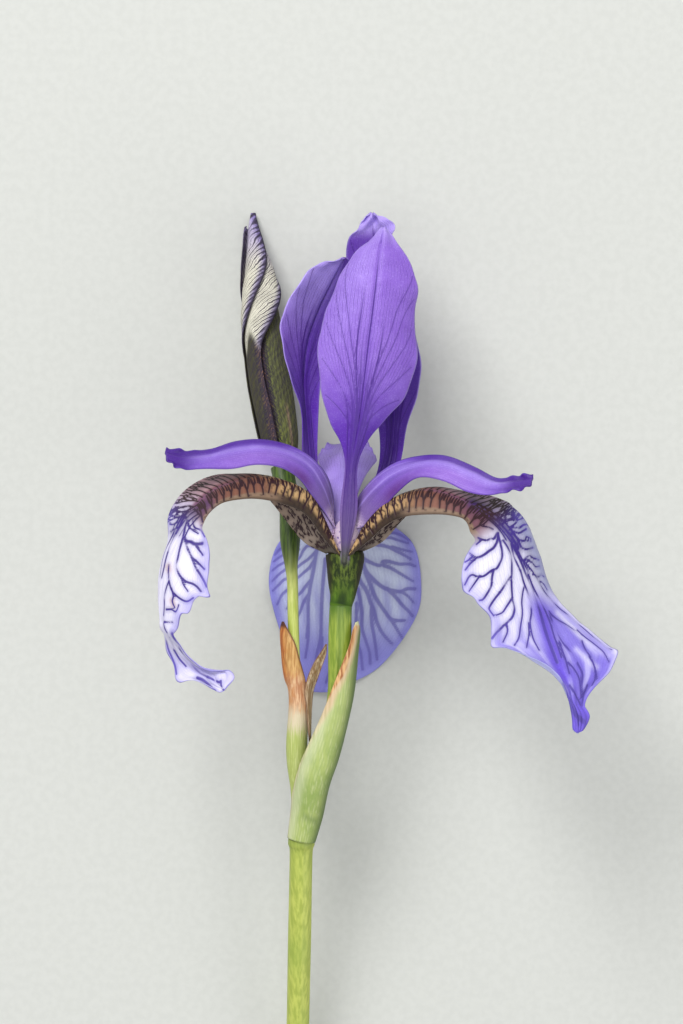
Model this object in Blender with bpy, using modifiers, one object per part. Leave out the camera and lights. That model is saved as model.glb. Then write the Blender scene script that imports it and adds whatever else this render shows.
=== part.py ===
"""Siberian iris (Iris sibirica) as picked: one open flower and one bud on a cut stem.

The flower lies on its back, as it comes to rest on a table: +Y runs from the cut stem to the
tips of the petals, +Z points up through the front of the flower, and Z = 0 is the table.
Shapes are written in millimetres about the flower's heart, the point on its axis where the
petals leave the tube; an empty carries the whole flower to its place on the table.
"""

import math

import bmesh
import bpy
import numpy as np

MM = 0.001

# Driving dimensions, in millimetres.
STEM_RADIUS = 1.65
NODE_RADIUS = 1.9
STEM_TOP = -40.6
STEM_CUT = -82.0
STEM_DROOP = 0.0288
TUBE_TOP = -0.12
TUBE_LENGTH = 6.5
TUBE_RIM_RADIUS = 2.75
TUBE_NECK_RADIUS = 1.75
OVARY_RADIUS = 1.65
COLUMN_RADIUS = 0.8
COLUMN_LENGTH = 2.85
SEAT_GAP = 0.3
PETAL_THICKNESS = 0.5
STYLE_THICKNESS = 0.5
BRACT_THICKNESS = 0.3
FILAMENT_RADIUS = 0.24
BUD_SPIRAL_STEP = 0.8
BUD_PETAL_SPACING = 120.0
NODE_SWELLING_LENGTH = 1.2
STEM_STRAIGHT_TO = -8.0
STEM_SIDEWAYS = -5.8
STEM_LEAN = 0.02

# Each petal is drawn by three lines from its seat to its tip: two margins and the midrib.
# Near is the margin towards +Z, the front of the flower, and far is the one behind.
FALL_RIGHT = {
    "near": [
        (1.5, 0.3, 1.85), (4.4, 2.3, 4.0), (6.6, 5.2, 5.9), (8.9, 6.5, 7.7), (12.0, 6.6, 9.7),
        (15.2, 5.9, 11.7), (17.6, 4.4, 13.6), (18.2, 1.2, 15.8), (16.9, -2.8, 17.4),
        (18.6, -6.8, 18.2), (20.9, -12.1, 18.4), (26.8, -14.4, 18.8), (31.2, -18.8, 18.5),
        (32.9, -24.8, 18.0),
    ],
    "midrib": [
        (1.95, 0.3, 1.12), (3.9, 3.8, 2.3), (6.4, 7.0, 3.8), (9.2, 8.4, 5.4), (12.8, 8.9, 7.4),
        (16.2, 8.1, 9.4), (19.4, 6.6, 11.2), (22.3, 4.0, 12.8), (24.2, -0.2, 13.8),
        (25.6, -5.4, 14.4), (27.8, -10.6, 15.4), (30.8, -15.8, 16.8), (32.6, -20.6, 17.8),
        (33.6, -24.9, 17.9),
    ],
    "far": [
        (2.4, 0.3, 0.4), (5.8, 1.9, 0.2), (8.6, 5.0, 1.4), (11.2, 7.4, 3.0), (14.6, 9.2, 4.8),
        (18.0, 9.0, 6.8), (21.8, 8.2, 8.6), (25.4, 6.2, 10.0), (27.9, 1.4, 9.6),
        (30.2, -5.2, 9.4), (35.6, -10.2, 11.2), (39.0, -14.0, 13.6), (34.9, -20.4, 16.6),
        (34.2, -24.8, 17.6),
    ],
}
FALL_LEFT = {
    "near": [
        (-1.5, 0.3, 1.85), (-4.2, 2.4, 4.0), (-6.2, 6.0, 5.7), (-8.6, 8.2, 7.4),
        (-11.8, 8.7, 9.4), (-14.8, 8.3, 11.3), (-17.4, 7.2, 13.0), (-19.4, 5.0, 14.8),
        (-19.6, 2.2, 16.8), (-18.8, -1.8, 18.2), (-18.9, -5.4, 18.6), (-22.2, -8.6, 17.0),
        (-23.9, -11.3, 15.4), (-20.9, -14.6, 14.8), (-17.4, -16.5, 15.8), (-15.2, -17.1, 16.8),
    ],
    "midrib": [
        (-1.95, 0.3, 1.12), (-3.8, 4.2, 2.2), (-5.8, 8.0, 3.6), (-8.8, 10.1, 5.3),
        (-12.2, 10.8, 7.2), (-15.4, 10.3, 9.0), (-18.2, 9.2, 10.7), (-20.5, 7.2, 12.2),
        (-22.6, 4.2, 13.4), (-24.3, 0.4, 14.2), (-25.2, -3.8, 14.4), (-25.2, -7.8, 14.2),
        (-24.4, -11.5, 13.8), (-21.7, -15.2, 13.6), (-18.2, -17.6, 14.6), (-15.7, -18.4, 15.9),
    ],
    "far": [
        (-2.4, 0.3, 0.4), (-5.4, 1.8, 0.2), (-8.2, 5.2, 1.4), (-10.8, 8.4, 3.0),
        (-13.9, 11.1, 4.6), (-17.2, 11.5, 6.2), (-20.4, 10.5, 7.8), (-23.2, 8.2, 9.2),
        (-24.8, 4.6, 9.8), (-25.0, 0.2, 8.8), (-24.2, -4.4, 7.8), (-23.8, -8.8, 8.8),
        (-24.9, -12.8, 11.2), (-23.5, -17.4, 12.8), (-19.3, -18.5, 13.8), (-16.7, -19.3, 15.2),
    ],
}
FALL_BACK = {
    "near": [
        (-0.85, 0.3, -2.3), (-2.0, 3.2, -4.0), (-2.6, 6.2, -6.8), (-2.8, 7.8, -10.4),
        (-3.0, 6.8, -14.4), (-4.6, 4.8, -17.6), (-9.0, 2.0, -19.1), (-10.6, -3.1, -19.4),
        (-9.9, -8.2, -19.5), (-7.8, -14.0, -19.5), (-4.6, -19.8, -19.2),
    ],
    "midrib": [
        (0.0, 0.3, -2.3), (0.0, 3.6, -3.6), (0.0, 6.8, -6.2), (0.0, 8.4, -10.0),
        (0.0, 7.6, -14.2), (0.0, 4.6, -17.6), (0.2, 0.2, -19.4), (0.3, -5.0, -19.6),
        (0.0, -10.0, -19.6), (-1.0, -15.0, -19.5), (-2.4, -20.0, -19.2),
    ],
    "far": [
        (0.85, 0.3, -2.3), (2.0, 3.2, -4.0), (2.6, 6.2, -6.8), (2.8, 7.8, -10.4),
        (3.2, 6.8, -14.4), (5.4, 5.2, -17.6), (10.2, 1.8, -19.1), (11.5, -4.2, -19.4),
        (10.6, -9.4, -19.5), (5.6, -16.2, -19.5), (-0.2, -19.3, -19.2),
    ],
}
STANDARD_FRONT = {
    "near": [
        (-0.85, 0.3, 2.3), (-0.3, 6.5, 2.7), (0.55, 12.6, 3.2), (-0.1, 15.8, 3.4),
        (-1.7, 19.0, 3.4), (-3.1, 24.0, 2.6), (-3.4, 29.4, 2.0), (-2.4, 34.4, 1.8),
        (-0.8, 38.8, 2.0), (1.4, 42.4, 2.4), (4.4, 45.4, 2.8), (5.6, 46.6, 3.0),
    ],
    "midrib": [
        (0.0, 0.3, 2.35), (0.7, 6.5, 2.9), (1.45, 12.6, 3.7), (1.9, 16.2, 4.2),
        (2.6, 20.4, 4.8), (3.2, 25.4, 5.2), (3.8, 30.4, 5.4), (4.4, 35.0, 5.3),
        (4.9, 39.2, 4.9), (5.3, 42.8, 4.3), (5.8, 45.7, 3.5), (5.95, 46.7, 3.1),
    ],
    "far": [
        (0.85, 0.3, 2.3), (1.6, 6.5, 2.7), (2.35, 12.6, 3.2), (3.6, 16.2, 3.3),
        (6.2, 19.4, 3.2), (9.2, 22.8, 2.6), (10.6, 28.0, 2.0), (10.2, 33.4, 2.0),
        (10.9, 37.2, 2.4), (10.0, 40.4, 2.6), (7.8, 44.7, 2.9), (6.3, 46.7, 3.0),
    ],
}
STANDARD_LEFT = {
    "near": [
        (-2.43, 0.3, -0.41), (-4.5, 7.0, -1.2), (-5.6, 13.4, -1.8), (-5.8, 20.6, -1.8),
        (-7.6, 26.0, -0.8), (-8.8, 31.2, -0.2), (-8.1, 35.4, -0.4), (-5.4, 40.0, -1.4),
        (-2.9, 41.8, -2.2), (-0.2, 42.4, -2.8),
    ],
    "midrib": [
        (-2.0, 0.3, -1.15), (-3.8, 7.0, -2.1), (-4.6, 13.4, -3.0), (-5.2, 20.0, -3.8),
        (-5.5, 25.6, -4.4), (-4.9, 30.8, -5.0), (-3.2, 35.4, -5.2), (-1.3, 39.4, -4.6),
        (-0.2, 41.6, -3.8), (0.3, 42.5, -3.2),
    ],
    "far": [
        (-1.57, 0.3, -1.89), (-2.9, 7.0, -2.9), (-3.5, 13.4, -3.6), (-3.4, 19.2, -4.4),
        (-3.0, 24.6, -5.8), (-1.6, 30.0, -7.0), (0.0, 35.0, -7.2), (1.2, 39.0, -6.4),
        (1.0, 41.6, -4.8), (0.8, 42.6, -3.6),
    ],
}
STANDARD_RIGHT = {
    "near": [
        (2.43, 0.3, -0.41), (4.8, 7.0, -1.2), (8.1, 12.6, -2.2), (9.2, 18.0, -2.6),
        (11.0, 23.4, -2.4), (11.1, 28.4, -2.4), (9.8, 35.0, -3.0), (8.4, 41.0, -3.4),
        (7.6, 45.6, -3.6), (5.2, 49.2, -4.0),
    ],
    "midrib": [
        (2.0, 0.3, -1.15), (3.9, 7.0, -2.2), (6.6, 12.4, -3.3), (7.4, 18.0, -4.4),
        (7.4, 24.0, -5.6), (7.0, 30.0, -6.4), (6.2, 37.0, -6.6), (5.2, 42.8, -6.0),
        (4.6, 46.8, -4.9), (4.3, 49.3, -4.1),
    ],
    "far": [
        (1.57, 0.3, -1.89), (3.0, 7.0, -2.9), (5.2, 12.4, -3.8), (5.3, 18.0, -5.4),
        (3.8, 24.0, -7.6), (2.6, 30.0, -8.8), (1.4, 37.0, -8.8), (0.6, 42.6, -7.4),
        (0.6, 46.0, -5.4), (3.6, 48.9, -4.2),
    ],
}
STYLE_LEFT = {
    "near": [
        (-0.64, 3.4, 1.29), (-2.6, 6.2, 2.6), (-4.4, 8.6, 3.9), (-6.2, 10.9, 5.2),
        (-8.8, 12.4, 6.8), (-12.2, 12.8, 8.6), (-15.6, 12.2, 10.4), (-19.2, 12.2, 12.4),
        (-22.6, 12.1, 14.2), (-24.4, 13.0, 15.0),
    ],
    "midrib": [
        (-1.04, 3.4, 0.6), (-1.9, 7.2, 1.3), (-3.0, 10.2, 2.2), (-4.8, 12.8, 3.2),
        (-7.8, 14.4, 5.0), (-11.6, 15.0, 7.0), (-15.4, 14.6, 9.0), (-19.0, 13.8, 11.2),
        (-22.4, 13.6, 13.0), (-24.9, 14.2, 14.2),
    ],
    "far": [
        (-1.44, 3.4, -0.09), (-1.2, 7.8, -0.3), (-2.2, 11.4, 0.6), (-4.6, 14.0, 1.6),
        (-7.6, 15.6, 3.2), (-11.4, 16.4, 5.2), (-15.2, 16.1, 7.4), (-18.6, 15.0, 9.6),
        (-21.8, 14.8, 11.6), (-24.8, 15.2, 13.2),
    ],
}
STYLE_RIGHT = {
    "near": [
        (0.64, 3.4, 1.29), (3.4, 4.9, 2.8), (5.4, 7.4, 4.3), (7.6, 9.5, 5.8),
        (10.8, 11.0, 7.8), (14.4, 10.5, 10.0), (17.6, 9.0, 12.0), (20.6, 8.5, 13.6),
        (23.6, 9.0, 15.0), (26.2, 9.5, 16.2),
    ],
    "midrib": [
        (1.04, 3.4, 0.6), (2.4, 6.6, 1.4), (4.4, 9.2, 2.6), (7.2, 11.5, 4.2),
        (10.8, 12.7, 6.2), (14.6, 12.7, 8.4), (18.4, 11.2, 10.6), (21.6, 9.9, 12.4),
        (24.2, 10.1, 13.8), (26.8, 10.4, 15.2),
    ],
    "far": [
        (1.44, 3.4, -0.09), (2.1, 7.6, -0.2), (4.2, 10.6, 0.9), (7.4, 13.0, 2.4),
        (11.0, 14.0, 4.4), (14.8, 14.0, 6.6), (18.8, 12.4, 8.8), (22.0, 10.8, 11.0),
        (24.6, 11.2, 12.6), (26.9, 11.5, 14.2),
    ],
}
STYLE_BACK = {
    "near": [
        (-0.8, 3.4, -1.2), (-1.6, 8.0, -2.8), (-2.4, 11.0, -5.2), (-3.2, 13.0, -8.5),
        (-3.4, 14.2, -12.0), (-2.0, 16.2, -15.2),
    ],
    "midrib": [
        (0.0, 3.4, -1.2), (0.2, 8.2, -2.6), (0.4, 11.6, -5.0), (0.6, 13.9, -8.5),
        (0.8, 14.9, -12.0), (0.8, 15.8, -15.5),
    ],
    "far": [
        (0.8, 3.4, -1.2), (2.0, 8.0, -2.8), (3.2, 11.0, -5.2), (4.4, 12.8, -8.5),
        (5.0, 13.8, -12.0), (3.8, 16.2, -15.2),
    ],
}
BRACTEOLE = {
    "near": [
        (-4.6, -22.0, -3.2), (-4.9, -19.6, -2.9), (-4.9, -17.4, -2.7), (-4.1, -15.5, -2.6),
        (-2.9, -13.7, -2.7), (-2.3, -12.8, -2.8),
    ],
    "midrib": [
        (-4.3, -22.0, -3.9), (-4.5, -19.6, -3.7), (-4.3, -17.6, -3.5), (-3.5, -15.7, -3.3),
        (-2.5, -13.8, -3.1), (-2.2, -12.8, -3.0),
    ],
    "far": [
        (-4.4, -22.0, -4.6), (-4.4, -20.0, -4.4), (-3.7, -18.0, -4.0), (-2.9, -16.0, -3.6),
        (-2.2, -14.1, -3.3), (-2.1, -12.8, -3.2),
    ],
}

# A sheath is wrapped round an axis: (height y, axis x, axis z, radius, first and last angle).
# Angles run in degrees from +X towards +Z.
OUTER_SPATHE = [
    (-40.1, -5.55, -5.3, 2.15, 170, -150), (-37.0, -5.25, -4.6, 2.3, 170, -130),
    (-34.4, -4.8, -3.95, 2.4, 166, -105), (-31.0, -3.95, -3.2, 2.5, 158, -98),
    (-27.3, -2.65, -2.45, 2.4, 150, -95), (-23.7, -1.5, -1.75, 2.25, 137, -92),
    (-20.1, -0.7, -1.2, 2.2, 121, -90), (-16.0, -0.35, -0.65, 2.4, 89, -85),
    (-12.6, -0.3, -0.3, 2.65, 60, -55), (-10.4, -0.25, -0.1, 2.65, 46, -28),
    (-9.4, -0.2, 0.0, 2.4, 26, -5),
]
INNER_SPATHE = [
    (-39.9, -6.15, -5.4, 0.88, 62, 298), (-37.0, -6.1, -4.85, 0.95, 52, 308),
    (-34.0, -6.1, -4.65, 1.1, 42, 318), (-30.0, -6.35, -4.45, 1.38, 25, 335),
    (-26.6, -6.4, -4.25, 1.45, 15, 345), (-22.0, -6.25, -4.2, 1.35, 12, 348),
    (-19.0, -6.4, -4.3, 1.3, 15, 345), (-17.3, -6.7, -4.4, 1.5, 35, 320),
    (-15.1, -6.95, -4.5, 1.6, 58, 290), (-12.6, -7.05, -4.65, 1.65, 80, 265),
    (-10.6, -7.1, -4.8, 1.6, 118, 225), (-9.6, -7.1, -4.85, 1.45, 150, 200),
]

# Stalks: (x, y, z, radius).
OVARY_PATH = [
    (-0.15, -7.0, 0.0, OVARY_RADIUS), (-0.3, -11.0, -0.15, 1.65), (-0.4, -15.0, -0.55, 1.6),
    (-0.8, -20.0, -1.25, 1.3), (-2.1, -26.0, -2.3, 0.9), (-3.8, -33.0, -3.75, 0.7),
    (-4.5, -37.0, -4.6, 0.62), (-4.65, -40.0, -5.3, 0.6),
]
BUD_STALK_PATH = [
    (-6.2, -40.0, -5.4, 0.42), (-6.15, -36.0, -4.75, 0.45), (-6.2, -31.0, -4.45, 0.55),
    (-6.35, -26.0, -4.25, 0.62), (-6.4, -21.0, -4.2, 0.65), (-6.75, -15.0, -4.45, 0.75),
    (-7.0, -9.3, -4.9, 0.8), (-7.1, -4.1, -5.6, 0.8), (-7.3, -1.4, -6.0, 0.95),
    (-7.5, 2.1, -6.6, 1.45), (-7.6, 7.1, -7.5, 1.5), (-8.3, 10.5, -8.3, 1.6),
    (-8.7, 12.6, -8.8, 1.65),
]
# The bud: (axis x, y, z, radius), and how far round each petal turns at that height.
BUD_AXIS = [
    (-8.8, 13.35, -9.05, 1.9, 95, 0), (-8.7, 16.0, -9.6, 2.85, 180, 0),
    (-9.2, 20.5, -10.4, 3.05, 205, 0), (-10.0, 25.0, -11.3, 3.1, 205, 0),
    (-11.0, 29.5, -12.3, 3.15, 205, 8), (-11.5, 33.5, -13.3, 3.2, 205, 28),
    (-11.8, 37.5, -14.5, 3.0, 195, 55), (-12.4, 42.0, -16.2, 2.2, 160, 85),
    (-13.0, 46.0, -17.9, 1.4, 110, 110), (-13.0, 49.4, -19.65, 0.5, 70, 125),
]
# Each bud petal: the angle its middle faces, and its share of the bud's length.
BUD_PETALS = {
    "bud_petal_front": (20.0, 1.0),
    "bud_petal_left": (140.0, 0.93),
    "bud_petal_right": (260.0, 0.86),
}
# Each stamen: the way it points, in degrees from +Z towards +X, and its heights. All share
# the distances from the flower's axis and the swelling where the anther sits.
STAMENS = {
    "stamen_right": (60.0, [0.35, 1.8, 3.5, 6.02, 8.6, 10.0, 10.3]),
    "stamen_left": (-60.0, [0.35, 2.3, 5.2, 8.8, 11.3, 12.5, 12.7]),
    "stamen_back": (180.0, [0.35, 2.3, 5.2, 8.6, 10.4, 11.2, 11.2]),
}
STAMEN_REACH = [1.45, 1.7, 2.9, 5.2, 8.0, 11.5, 14.3]
STAMEN_SWELLING = [1.0, 1.0, 1.0, 1.0, 2.0, 2.3, 1.2]


def finish(name, colour, roughness):
    """A Principled material of one colour."""
    material = bpy.data.materials.new(name)
    material.use_nodes = True
    shader = material.node_tree.nodes["Principled BSDF"]
    shader.inputs["Base Color"].default_value = (*colour, 1.0)
    shader.inputs["Roughness"].default_value = roughness
    shader.inputs["Metallic"].default_value = 0.0
    return material


def smooth_line(points, count):
    """Count rows on the Catmull-Rom curve that passes through every point, ends included."""
    points = np.array(points, float)
    padded = np.vstack([2 * points[0] - points[1], points, 2 * points[-1] - points[-2]])
    place = np.linspace(0, len(points) - 1, count)
    first = np.minimum(place.astype(int), len(points) - 2)
    t = (place - first)[:, None]
    before, start, end, after = (padded[first + step] for step in range(4))
    return 0.5 * (
        2 * start
        + (end - before) * t
        + (2 * before - 5 * start + 4 * end - after) * t**2
        + (3 * start - before - 3 * end + after) * t**3
    )


def petal_points(lines, rows, columns):
    """Rows along the petal, each a parabola from margin to margin through the midrib."""
    near, midrib, far = (smooth_line(lines[key], rows) for key in ("near", "midrib", "far"))
    v = np.linspace(-1, 1, columns)[None, :, None]
    return (
        near[:, None] * v * (v - 1) / 2
        + midrib[:, None] * (1 - v**2)
        + far[:, None] * v * (v + 1) / 2
    )


def wrap_points(height, axis_x, axis_z, radius, angle):
    """Points at an angle and radius round an axis, each section square to the axis."""
    along = np.gradient(height[:, 0])[:, None]
    lean_x = np.gradient(axis_x[:, 0])[:, None] / along
    lean_z = np.gradient(axis_z[:, 0])[:, None] / along
    x = radius * np.cos(angle)
    z = radius * np.sin(angle)
    return np.stack([axis_x + x, height - lean_x * x - lean_z * z, axis_z + z], axis=-1)


def sheath_points(stations, rows, columns):
    """Rows up a sheath, each an arc round its axis from the first angle to the last."""
    y, axis_x, axis_z, radius, first, last = smooth_line(stations, rows).T[:, :, None]
    share = np.linspace(0, 1, columns)[None, :]
    return wrap_points(y, axis_x, axis_z, radius, np.radians(first + (last - first) * share))


def bud_petal_points(start_angle, length_share, rows, columns):
    """Rows up a rolled petal: its radius grows along the arc, so it laps over the next one."""
    stations = smooth_line(BUD_AXIS, 4 * rows)
    stations = stations[: int(len(stations) * length_share)]
    stations = smooth_line(stations[:: max(1, len(stations) // 12)], rows)
    axis_x, y, axis_z, radius, turn, twist = stations.T[:, :, None]
    share = np.linspace(0, 1, columns)[None, :]
    angle = np.radians(start_angle - twist + turn * (share - 0.5))
    spiral = BUD_SPIRAL_STEP * (share - 1) * turn / BUD_PETAL_SPACING
    return wrap_points(y, axis_x, axis_z, radius + spiral, angle)


def add_part(name, mesh_or_curve, material, collection, root):
    """Link a named part, give it its material and hang it on the flower's empty."""
    part = bpy.data.objects.new(name, mesh_or_curve)
    mesh_or_curve.materials.append(material)
    collection.objects.link(part)
    part.parent = root
    return part


def sheet(name, points, thickness, material, collection, root):
    """A thin curved piece: a grid laid over the points, thickened on both sides by Solidify."""
    rows, columns = points.shape[:2]
    grid = bmesh.new()
    bmesh.ops.create_grid(grid, x_segments=columns - 1, y_segments=rows - 1, size=1)
    for vertex in grid.verts:
        column = round((vertex.co.x + 1) / 2 * (columns - 1))
        row = round((vertex.co.y + 1) / 2 * (rows - 1))
        vertex.co = points[row, column] * MM
    mesh = bpy.data.meshes.new(name)
    grid.to_mesh(mesh)
    grid.free()
    mesh.shade_smooth()
    part = add_part(name, mesh, material, collection, root)
    wall = part.modifiers.new("thickness", "SOLIDIFY")
    wall.thickness = thickness * MM
    wall.offset = 0.0
    return part


def stalk(name, path, sides_resolution, points, material, collection, root):
    """A round stalk: a curve with a bevel, whose radius follows the path's last number."""
    line = smooth_line(path, points)
    curve = bpy.data.curves.new(name, "CURVE")
    curve.dimensions = "3D"
    curve.bevel_depth = MM
    curve.bevel_resolution = sides_resolution
    curve.use_fill_caps = True
    spline = curve.splines.new("POLY")
    spline.points.add(points - 1)
    for point, (x, y, z, radius) in zip(spline.points, line):
        point.co = (x * MM, y * MM, z * MM, 1.0)
        point.radius = radius
    spline.use_smooth = True
    return add_part(name, curve, material, collection, root)


def turned(name, profile, material, collection, root):
    """A round body turned about the flower's axis from (radius, height) pairs, top first."""
    mesh = bpy.data.meshes.new(name)
    points = [(0.0, 0.0, profile[0][1] * MM)]
    points += [(radius * MM, 0.0, height * MM) for radius, height in profile]
    points.append((0.0, 0.0, profile[-1][1] * MM))
    edges = [(index, index + 1) for index in range(len(points) - 1)]
    mesh.from_pydata(points, edges, [])
    part = add_part(name, mesh, material, collection, root)
    part.rotation_euler = (-math.pi / 2, 0.0, 0.0)
    screw = part.modifiers.new("turning", "SCREW")
    screw.steps = 24
    screw.render_steps = 24
    screw.use_merge_vertices = True
    screw.merge_threshold = 0.00001
    screw.use_smooth_shade = True
    return part


def stem_depth(height):
    """How far the stem has sunk towards the table at a height below the flower."""
    return -STEM_DROOP * max(0.0, STEM_STRAIGHT_TO - height) ** 1.5


def flower_stem(collection, root):
    """The cut flowering stem, swelling into the node that carries the spathes."""
    material = finish("stem_green", (0.36, 0.47, 0.1), 0.5)
    heights = [STEM_TOP, STEM_TOP - 0.8, STEM_TOP - 2.0, -46.0, -55.0, -64.0, -73.0, STEM_CUT]
    path = []
    for height in heights:
        below_node = (height - STEM_TOP) / NODE_SWELLING_LENGTH
        radius = STEM_RADIUS + (NODE_RADIUS - STEM_RADIUS) * math.exp(-(below_node**2))
        sideways = STEM_SIDEWAYS + STEM_LEAN * (height - STEM_TOP)
        path.append((sideways, height, stem_depth(height), radius))
    stalk("flower_stem", path, 4, 18, material, collection, root)


def spathes(collection, root):
    """The green outer spathe, the papery inner one round the bud's stalk, and its bracteole."""
    green = finish("spathe_green", (0.4, 0.52, 0.16), 0.55)
    papery = finish("spathe_papery", (0.62, 0.42, 0.22), 0.7)
    outer = sheath_points(OUTER_SPATHE, 16, 9)
    inner = sheath_points(INNER_SPATHE, 17, 9)
    sheet("outer_spathe", outer, BRACT_THICKNESS, green, collection, root)
    sheet("inner_spathe", inner, BRACT_THICKNESS, papery, collection, root)
    lobe = petal_points(BRACTEOLE, 8, 5)
    sheet("bracteole", lobe, BRACT_THICKNESS, papery, collection, root)


def ovary_and_tube(collection, root):
    """The ovary on its stalk, and the perianth tube that flares out to carry the petals."""
    lime = finish("ovary_lime", (0.36, 0.5, 0.06), 0.45)
    stalk("flower_ovary", OVARY_PATH, 4, 20, lime, collection, root)
    tube_green = finish("tube_green", (0.1, 0.2, 0.03), 0.45)
    waist = (TUBE_RIM_RADIUS + TUBE_NECK_RADIUS) / 2
    profile = [
        (TUBE_RIM_RADIUS, TUBE_TOP), (TUBE_RIM_RADIUS - 0.1, TUBE_TOP - 0.7),
        (waist, TUBE_TOP - 2.3), (TUBE_NECK_RADIUS + 0.1, TUBE_TOP - 4.5),
        (TUBE_NECK_RADIUS, TUBE_TOP - TUBE_LENGTH),
    ]
    turned("perianth_tube", profile, tube_green, collection, root)


def petals(collection, root):
    """Three hanging falls and three upright standards, seated on the tube's rim."""
    fall = finish("fall_violet_white", (0.55, 0.5, 0.85), 0.5)
    standard = finish("standard_violet", (0.25, 0.13, 0.68), 0.5)
    falls = {"fall_right": FALL_RIGHT, "fall_left": FALL_LEFT, "fall_back": FALL_BACK}
    for name, lines in falls.items():
        points = petal_points(lines, 23, 7)
        sheet(name, points, PETAL_THICKNESS, fall, collection, root)
    standards = {
        "standard_front": STANDARD_FRONT,
        "standard_left": STANDARD_LEFT,
        "standard_right": STANDARD_RIGHT,
    }
    for name, lines in standards.items():
        points = petal_points(lines, 18, 7)
        sheet(name, points, PETAL_THICKNESS, standard, collection, root)


def style(collection, root):
    """The style: a short column that divides into three petal-like arms over the stamens."""
    violet = finish("style_violet", (0.32, 0.17, 0.7), 0.45)
    foot = TUBE_TOP + SEAT_GAP
    column = [(COLUMN_RADIUS, foot + COLUMN_LENGTH), (COLUMN_RADIUS, foot)]
    turned("style_column", column, violet, collection, root)
    arms = {"style_right": STYLE_RIGHT, "style_left": STYLE_LEFT, "style_back": STYLE_BACK}
    for name, lines in arms.items():
        sheet(name, petal_points(lines, 15, 5), STYLE_THICKNESS, violet, collection, root)


def stamens(collection, root):
    """Three stamens, each a filament with its anther, held under the style arms."""
    cream = finish("stamen_cream", (0.62, 0.55, 0.42), 0.6)
    for name, (azimuth, heights) in STAMENS.items():
        outward = (math.sin(math.radians(azimuth)), math.cos(math.radians(azimuth)))
        path = [
            (reach * outward[0], height, reach * outward[1], FILAMENT_RADIUS * swelling)
            for reach, height, swelling in zip(STAMEN_REACH, heights, STAMEN_SWELLING)
        ]
        stalk(name, path, 2, 13, cream, collection, root)


def bud(collection, root):
    """The closed bud on its own stalk: three outer petals rolled over each other."""
    stalk_green = finish("bud_stalk_green", (0.3, 0.42, 0.06), 0.45)
    stalk("bud_ovary", BUD_STALK_PATH, 3, 24, stalk_green, collection, root)
    bud_olive = finish("bud_olive", (0.2, 0.2, 0.12), 0.5)
    for name, (start_angle, length_share) in BUD_PETALS.items():
        points = bud_petal_points(start_angle, length_share, 16, 9)
        sheet(name, points, BRACT_THICKNESS, bud_olive, collection, root)


def lay_on_table(collection, root):
    """Move the empty so that the flower's box stands on Z = 0 about the origin."""
    bpy.context.view_layer.update()
    graph = bpy.context.evaluated_depsgraph_get()
    corners = []
    for part in collection.objects:
        if part.type == "EMPTY":
            continue
        evaluated = part.evaluated_get(graph)
        mesh = evaluated.to_mesh()
        points = np.empty(len(mesh.vertices) * 3, np.float32)
        mesh.vertices.foreach_get("co", points)
        world = np.array(evaluated.matrix_world)
        points = points.reshape(-1, 3) @ world[:3, :3].T + world[:3, 3]
        corners += [points.min(axis=0), points.max(axis=0)]
        evaluated.to_mesh_clear()
    low = np.min(corners, axis=0)
    high = np.max(corners, axis=0)
    root.location = (-(low[0] + high[0]) / 2, -(low[1] + high[1]) / 2, -low[2])


def main():
    for old in list(bpy.data.objects):
        bpy.data.objects.remove(old, do_unlink=True)
    collection = bpy.data.collections.new("siberian_iris")
    bpy.context.scene.collection.children.link(collection)
    root = bpy.data.objects.new("lying_flower", None)
    collection.objects.link(root)
    flower_stem(collection, root)
    spathes(collection, root)
    ovary_and_tube(collection, root)
    petals(collection, root)
    style(collection, root)
    stamens(collection, root)
    bud(collection, root)
    lay_on_table(collection, root)


main()
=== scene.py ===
"""Siberian iris as picked: one open flower and one bud on a cut stem, lying on a table.

The flower is put together from the cut stem upwards: stem, spathes, ovary and tube, falls,
standards, style, stamens and bud. Every piece is a surface worked out on a grid about the
flower's heart, the point on its axis where the petals leave the tube.
"""

import bpy
import numpy as np
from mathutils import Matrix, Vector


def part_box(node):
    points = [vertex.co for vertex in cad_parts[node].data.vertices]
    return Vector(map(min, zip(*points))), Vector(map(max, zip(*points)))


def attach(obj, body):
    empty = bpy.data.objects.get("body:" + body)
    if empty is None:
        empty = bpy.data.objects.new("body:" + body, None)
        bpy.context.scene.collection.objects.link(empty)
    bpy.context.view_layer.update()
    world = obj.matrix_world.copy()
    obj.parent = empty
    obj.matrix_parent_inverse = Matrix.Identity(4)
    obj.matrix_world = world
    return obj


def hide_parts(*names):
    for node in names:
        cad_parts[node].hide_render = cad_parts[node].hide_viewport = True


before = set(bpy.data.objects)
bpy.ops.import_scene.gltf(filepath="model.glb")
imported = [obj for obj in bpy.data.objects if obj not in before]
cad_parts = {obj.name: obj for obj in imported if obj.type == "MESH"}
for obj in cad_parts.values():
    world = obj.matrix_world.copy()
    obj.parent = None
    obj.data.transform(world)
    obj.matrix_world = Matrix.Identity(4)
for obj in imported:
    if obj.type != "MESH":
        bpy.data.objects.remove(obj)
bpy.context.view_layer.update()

scene = bpy.context.scene
MM = 0.001

# The heart of the flower, found from the perianth tube: it lies on the tube's axis, and the
# tube's rim stops a little below it.
RIM_BELOW_HEART = 0.12 * MM
tube_low, tube_high = (np.array(corner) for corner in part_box("perianth_tube"))
HEART = (tube_low + tube_high) / 2
HEART[1] = tube_high[1] + RIM_BELOW_HEART

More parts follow.
